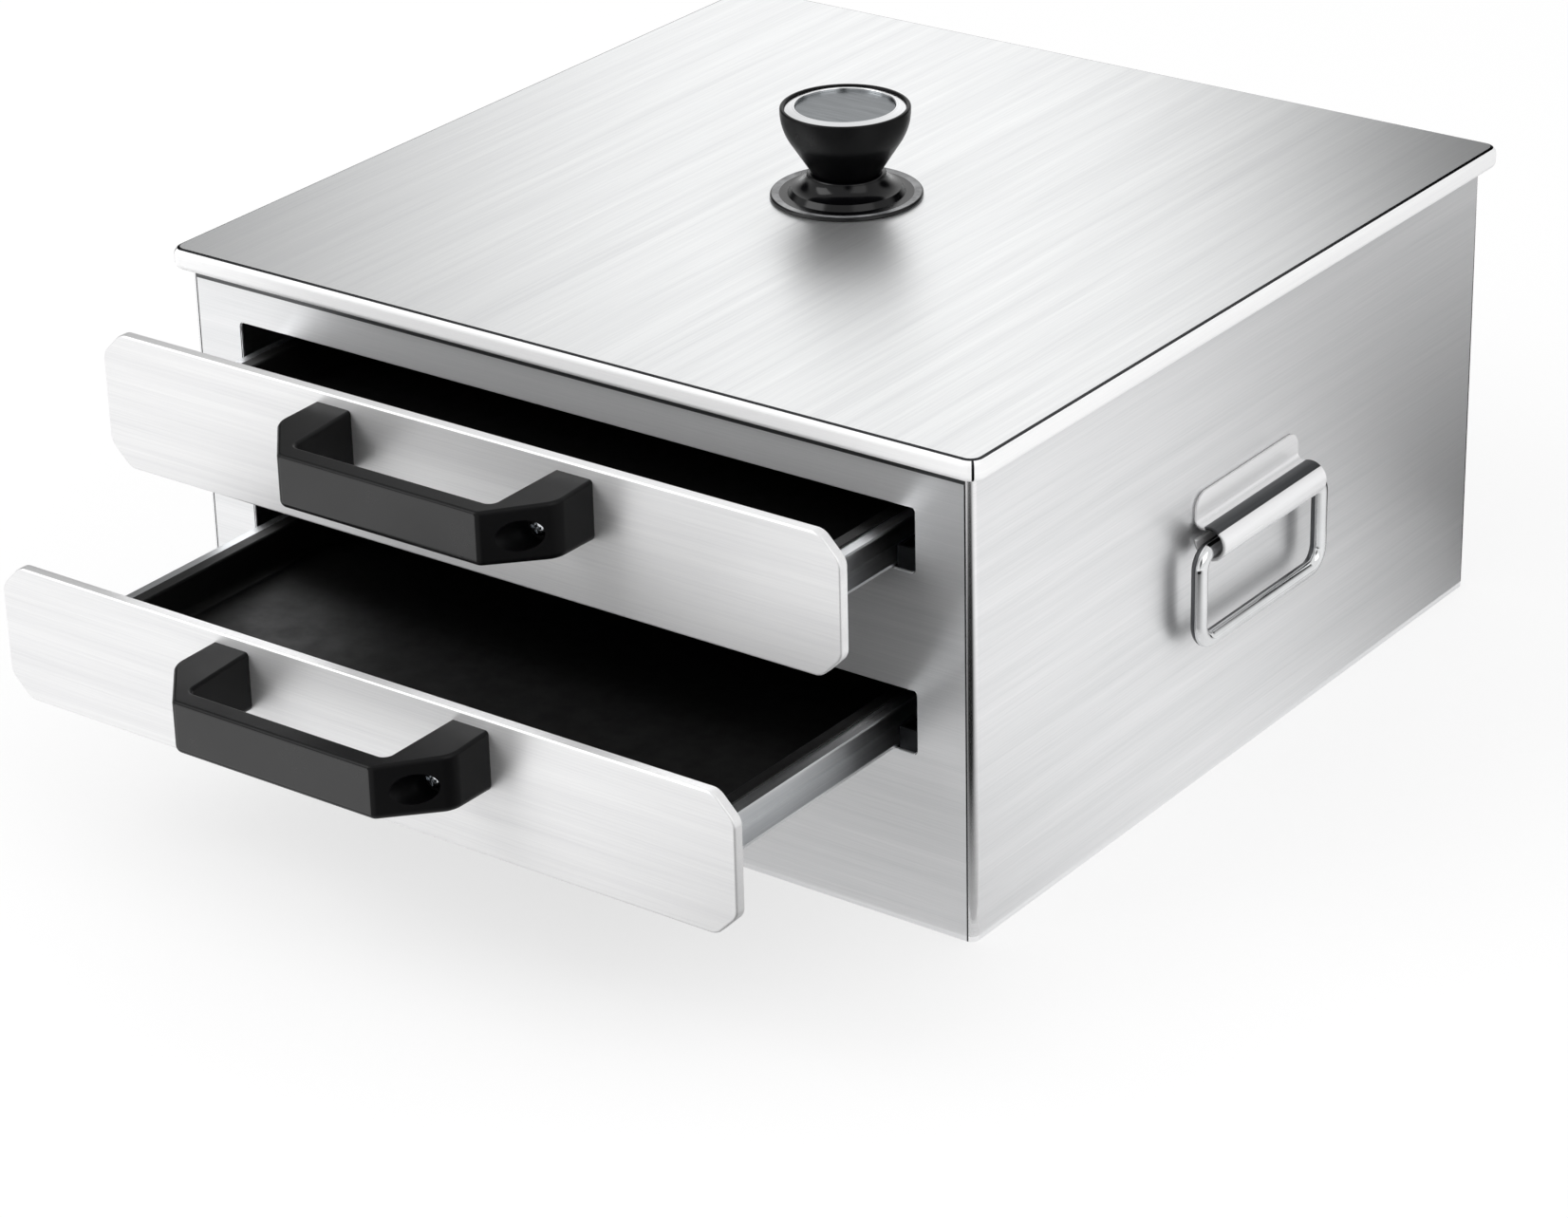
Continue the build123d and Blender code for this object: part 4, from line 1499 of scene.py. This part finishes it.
@dataclass
class Drawer(SubAssembly):
    """A tray drawer: pressed front, channels, hanging tray, and bow handle with its screws.

    Attributes:
        row: Which drawer it is.
        chamfer: The length of the front's cut corners.
        corner_round: The round where a cut meets a side.
        front_round: The round of the front's outline.
        front_sheet: The thickness of the front's sheet.
        tray_sheet: The thickness of the tray.
        tray_rim: The width of the tray's rim at its sides.
        tray_lean: How far the tray's walls lean in over their height.
        tray_corner: The radius of the tray's corners.
        tray_rim_round: The round between rim and wall.
        tray_floor_round: The radius between wall and floor.
        front_trim: The width of the rim that is left at the front.
        handle: The bow handle.
    """

    row: Row
    chamfer: float = 8.6
    corner_round: float = 2.2
    front_round: float = 0.8
    front_sheet: float = 0.8
    tray_sheet: float = 0.8
    tray_rim: float = 5.0
    tray_lean: float = 1.99
    tray_corner: float = 9.0
    tray_rim_round: float = 0.9
    tray_floor_round: float = 2.8
    front_trim: float = 2.2
    handle: BowHandle = field(default_factory=BowHandle)

    def __post_init__(self) -> None:
        """Sets the body that the drawer's pieces ride on."""
        self.body = f"{self.row.value}_drawer"

    def build(self) -> None:
        """Makes the front, the tray and the handle, and dresses the folded rails."""
        word = self.row.value
        self.place(self.front(), f"{word}_pressed_front", f"{word}_front_panel", FRONT_STEEL,
                   Slot.SHEET)
        self.place(self.tray(), f"{word}_coated_tray", f"{word}_tray", TRAY_COATING, Slot.TRAY)
        for part in ("left_channel", "right_channel", "rear_bar"):
            self.redress(f"{word}_{part}", RAIL_STEEL)
        self.redress(f"{word}_handle_nuts", ZINC_PLATE)
        box = span_of(f"{word}_handle")
        bow = self.handle.bow(f"{word}_bow_handle", box)
        self.adopt(bow, f"{word}_handle", BAKELITE, Slot.BAKELITE)
        # painted sheen: the front faces get a lighter, glossier copy of the bakelite
        self.zone(bow, BAKELITE_PAINTED_SHEEN, lambda face: face.normal.y < self.handle.gripped)
        seat = box.high.y - self.handle.screw_seat
        screws = self.handle.screws(f"{word}_cross_screws", span_of(f"{word}_handle_screws"), seat)
        self.adopt(screws, f"{word}_handle_screws", ZINC_PLATE, Slot.PLATED)

    def front(self) -> BMesh:
        """A pan with cut corners that opens to the back.

        Returns:
            The mesh, in millimetres.
        """
        box = span_of(f"{self.row.value}_front_panel")
        bm = bmesh.new()
        face = plate(bm, box.size.x, box.size.z, self.chamfer, segments=1,
                     place=upright(box.centre.x, box.low.y, box.centre.z))
        round_corners(bm, face.verts, self.corner_round, segments=4)
        outline = list(bm.edges)
        pull(bm, outline, (0, box.size.y, 0))
        round_edges(bm, outline, self.front_round, segments=4)
        thicken(bm, self.front_sheet, (0, -1, 0))
        return bm

    def tray(self) -> BMesh:
        """A rim with a hole, walls that lean in, and a rounded floor.

        Returns:
            The mesh, in millimetres.
        """
        box = span_of(f"{self.row.value}_tray")
        mouth = Vector((box.size.x - 2 * self.tray_rim,
                        box.size.y - self.tray_rim - self.front_trim))
        centre = Vector((box.centre.x, box.low.y + self.front_trim + mouth.y / 2, box.high.z))
        bm = bmesh.new()
        outer, inner = [
            open_loop(bm, plate(bm, size.x, size.y, self.tray_corner, segments=6,
                                place=Matrix.Translation(at)))
            for size, at in ((box.size, (*box.centre.xy, box.high.z)), (mouth, centre))]
        bmesh.ops.triangle_fill(bm, use_beauty=True, use_dissolve=False, edges=outer + inner,
                                normal=(0, 0, 1))
        drop = box.size.z - self.tray_sheet
        shrink = (1 - 2 * self.tray_lean / mouth.x, 1 - 2 * self.tray_lean / mouth.y, 1.0)
        floor = pull(bm, inner, (0, 0, -drop), shrink, centre)
        bmesh.ops.edgeloop_fill(bm, edges=floor)
        round_edges(bm, floor, self.tray_floor_round, segments=5)
        round_edges(bm, inner, self.tray_rim_round, segments=3)
        thicken(bm, self.tray_sheet, (0, 0, 1))
        return bm


# ---------------------------------------------------------------------------------------------
# Studio
# ---------------------------------------------------------------------------------------------


def looking(place: Sequence[float], way: Sequence[float], front: str) -> Matrix:
    """The matrix of an object that looks one way.

    Args:
        place: Where it is, in metres.
        way: The way that it looks.
        front: Its own axis that looks there.

    Returns:
        The matrix.
    """
    turn = Vector(way).to_track_quat(front, "Y")
    return Matrix.Translation(place) @ turn.to_matrix().to_4x4()


def glow_over(tree: NodeTree, share: NodeSocket, under: NodeSocket, colour: str,
              strength: float) -> None:
    """Ends a material in a glow over another shader.

    Args:
        tree: The node tree.
        share: The glow's share.
        under: The other shader.
        colour: The glow's sRGB hex colour.
        strength: How bright it is, where 1 is white for a white glow.
    """
    glow = add_node(tree, "ShaderNodeEmission", {"Color": linear(colour), "Strength": strength})
    mix = add_node(tree, "ShaderNodeMixShader", {
        0: share, 1: under, 2: glow.outputs["Emission"]})
    add_node(tree, "ShaderNodeOutputMaterial", {"Surface": mix.outputs["Shader"]})


@dataclass(frozen=True)
class Card:
    """A soft-edged card that only the metal's reflections see.

    Attributes:
        name: The card's name.
        place: Its middle, in metres.
        face: The way it looks.
        size: Its width and height, in metres.
        colour: Its sRGB hex colour.
        strength: How bright it is, where 1 is white for a white card.
        turn: How far it is turned in its own plane, in degrees.
        firmness: How far its full brightness reaches out, where 1 fades from the middle on.
    """

    name: str
    place: tuple[float, float, float]
    face: tuple[float, float, float]
    size: tuple[float, float]
    colour: str
    strength: float = 1.0
    turn: float = 0.0
    firmness: float = 2.2

    def hang(self) -> None:
        """Makes the card and hides it from everything but glossy rays."""
        bm = bmesh.new()
        bmesh.ops.create_grid(bm, x_segments=1, y_segments=1, size=0.5 / MM)
        card = mesh_object(bm, self.name)
        spin = Matrix.Rotation(math.radians(self.turn), 4, "Z")
        grow = Matrix.Diagonal((*self.size, 1.0, 1.0))
        card.matrix_world = looking(self.place, self.face, "Z") @ spin @ grow
        card.data.materials.append(self.material())
        for rays in ("camera", "diffuse", "transmission", "volume_scatter", "shadow"):
            setattr(card, f"visible_{rays}", False)

    def material(self) -> Material:
        """A glow that fades out from the middle to the edge.

        Returns:
            The new material.
        """
        material = bare_material(self.name)
        tree = material.node_tree
        where = add_node(tree, "ShaderNodeTexCoord", {}).outputs["Object"]
        grown = add_node(tree, "ShaderNodeMapping", {"Vector": where, "Scale": (2.0, 2.0, 2.0)})
        fade = add_node(tree, "ShaderNodeTexGradient", {"Vector": grown.outputs["Vector"]},
                        gradient_type="QUADRATIC_SPHERE")
        firm = add_node(tree, "ShaderNodeMath", {0: fade.outputs["Fac"], 1: self.firmness},
                        operation="MULTIPLY", use_clamp=True)
        clear = add_node(tree, "ShaderNodeBsdfTransparent", {})
        glow_over(tree, firm.outputs["Value"], clear.outputs["BSDF"], self.colour, self.strength)
        return material


@dataclass
class Studio:
    """A pale floor, soft light, dark flags for the metal, and the camera.

    Attributes:
        aim: The point that the camera looks at, in metres.
        azimuth: How far the camera stands round from the front, in degrees.
        elevation: How far above the horizon it stands, in degrees.
        roll: How far its frame leans, in degrees.
        distance: From the camera to the point, in metres.
        lens: The focal length, in millimetres.
        sensor: The width that it is for, in millimetres.
        nearest: The nearest thing that the camera sees, in metres.
        floor_reach: How far the floor reaches from the middle, in metres.
        floor_glow: The share of pure white in the floor, to the eye and to the metal.
        sky_strength: The light from all round.
        lamp_size: The side of each lamp, in metres.
        lamp_aim: The point that the lamps look at, in metres.
    """

    aim: tuple[float, float, float] = (0.0434, -0.1034, 0.0654)
    azimuth: float = 36.71
    elevation: float = 25.65
    roll: float = -1.43
    distance: float = 1.7231
    lens: float = 109.94
    sensor: float = 36.0
    nearest: float = 0.05
    floor_reach: float = 5.0
    floor_glow: float = 0.7
    sky_strength: float = 0.9
    lamp_size: float = 1.6
    lamp_aim: tuple[float, float, float] = (0.0, 0.0, 0.08)

    def build(self) -> None:
        """Sets up everything that isn't the object."""
        self.camera()
        self.floor()
        self.sky()
        self.lamps()
        self.cards()
        bpy.context.scene.view_settings.view_transform = "Standard"

    def camera(self) -> None:
        """Puts the camera where the photograph was taken."""
        a, e = math.radians(self.azimuth), math.radians(self.elevation)
        back = Vector((math.sin(a) * math.cos(e), -math.cos(a) * math.cos(e), math.sin(e)))
        data = bpy.data.cameras.new("camera")
        data.lens = self.lens
        data.sensor_width = self.sensor
        data.clip_start = self.nearest
        data.dof.use_dof = False
        camera = scene_object("camera", data)
        lean = Matrix.Rotation(math.radians(self.roll), 4, "Z")
        place = Vector(self.aim) + back * self.distance
        camera.matrix_world = looking(place, -back, "-Z") @ lean
        bpy.context.scene.camera = camera

    def floor(self) -> None:
        """A wide matt floor: white to the eye and to the metal, and still under a soft shadow."""
        bm = bmesh.new()
        bmesh.ops.create_grid(bm, x_segments=1, y_segments=1, size=self.floor_reach / MM)
        floor = mesh_object(bm, "studio_floor")
        material = bare_material("paper_white_matt")
        tree = material.node_tree
        matt = add_node(tree, "ShaderNodeBsdfDiffuse", {"Color": linear("#f6f6f6")})
        glow_over(tree, self.seen(tree), matt.outputs["BSDF"], "#ffffff", 1.0)
        floor.data.materials.append(material)

    def seen(self, tree: NodeTree) -> NodeSocket:
        """The floor's glow for camera, glossy and transmission rays, and none for the rest.

        Args:
            tree: The node tree.

        Returns:
            The glow's share.
        """
        rays = add_node(tree, "ShaderNodeLightPath", {}).outputs
        share = rays["Is Camera Ray"]
        for other, operation in ((rays["Is Glossy Ray"], "MAXIMUM"),
                                 (rays["Is Transmission Ray"], "MAXIMUM"),
                                 (self.floor_glow, "MULTIPLY")):
            share = add_node(tree, "ShaderNodeMath", {0: share, 1: other},
                             operation=operation).outputs["Value"]
        return share

    def sky(self) -> None:
        """Even white all round."""
        world = bpy.data.worlds.new("studio")
        bpy.context.scene.world = world
        world.use_nodes = True
        world.node_tree.nodes.clear()
        white = add_node(world.node_tree, "ShaderNodeBackground", {
            "Color": linear("#ffffff"), "Strength": self.sky_strength})
        add_node(world.node_tree, "ShaderNodeOutputWorld", {"Surface": white.outputs["Background"]})

    def lamps(self) -> None:
        """A soft key from the front left and a softer fill from the right."""
        for name, place, power in (("key", (-1.4, -1.7, 1.9), 26.0),
                                   ("fill", (2.0, -0.6, 1.5), 9.0)):
            data = bpy.data.lights.new(name, "AREA")
            data.shape = "SQUARE"
            data.size = self.lamp_size
            data.energy = power
            lamp = scene_object(name, data)
            lamp.matrix_world = looking(place, Vector(self.lamp_aim) - Vector(place), "-Z")

    def cards(self) -> None:
        """Hangs the cards that shape what the metal mirrors."""
        for card in (
            Card("flag_left", (-0.66, 0.10, 0.42), (0.65, -0.67, -0.3), (0.9, 0.9), "#262626"),
            Card("flag_right", (0.17, 0.34, 0.29), (0.0, -1.0, 0.0), (0.64, 0.40), "#161616"),
            Card("sheet_behind", (-0.30, 0.44, 0.44), (0.5, -0.8, -0.3), (0.75, 0.75), "#ffffff",
                 1.16),
            Card("flag_side_floor", (0.22, 0.36, 0.002), (0.0, 0.0, 1.0), (0.5, 1.1), "#101010",
                 turn=-32.0),
            Card("flag_corner_floor", (0.34, -0.38, 0.002), (0.0, 0.0, 1.0), (0.75, 1.0),
                 "#0c0c0c", turn=50.0),
            Card("flag_corner", (0.53, -0.65, 0.42), (-0.6, 0.8, 0.0), (0.5, 1.0), "#101010"),
        ):
            card.hang()


def main() -> None:
    """Builds the steamer's looks and its studio."""
    Body().build()
    for side in Side:
        CarryHandle(side).build()
    Lid().build()
    Knob().build()
    for row in Row:
        Drawer(row).build()
    Studio().build()


if __name__ == "__main__":
    main()
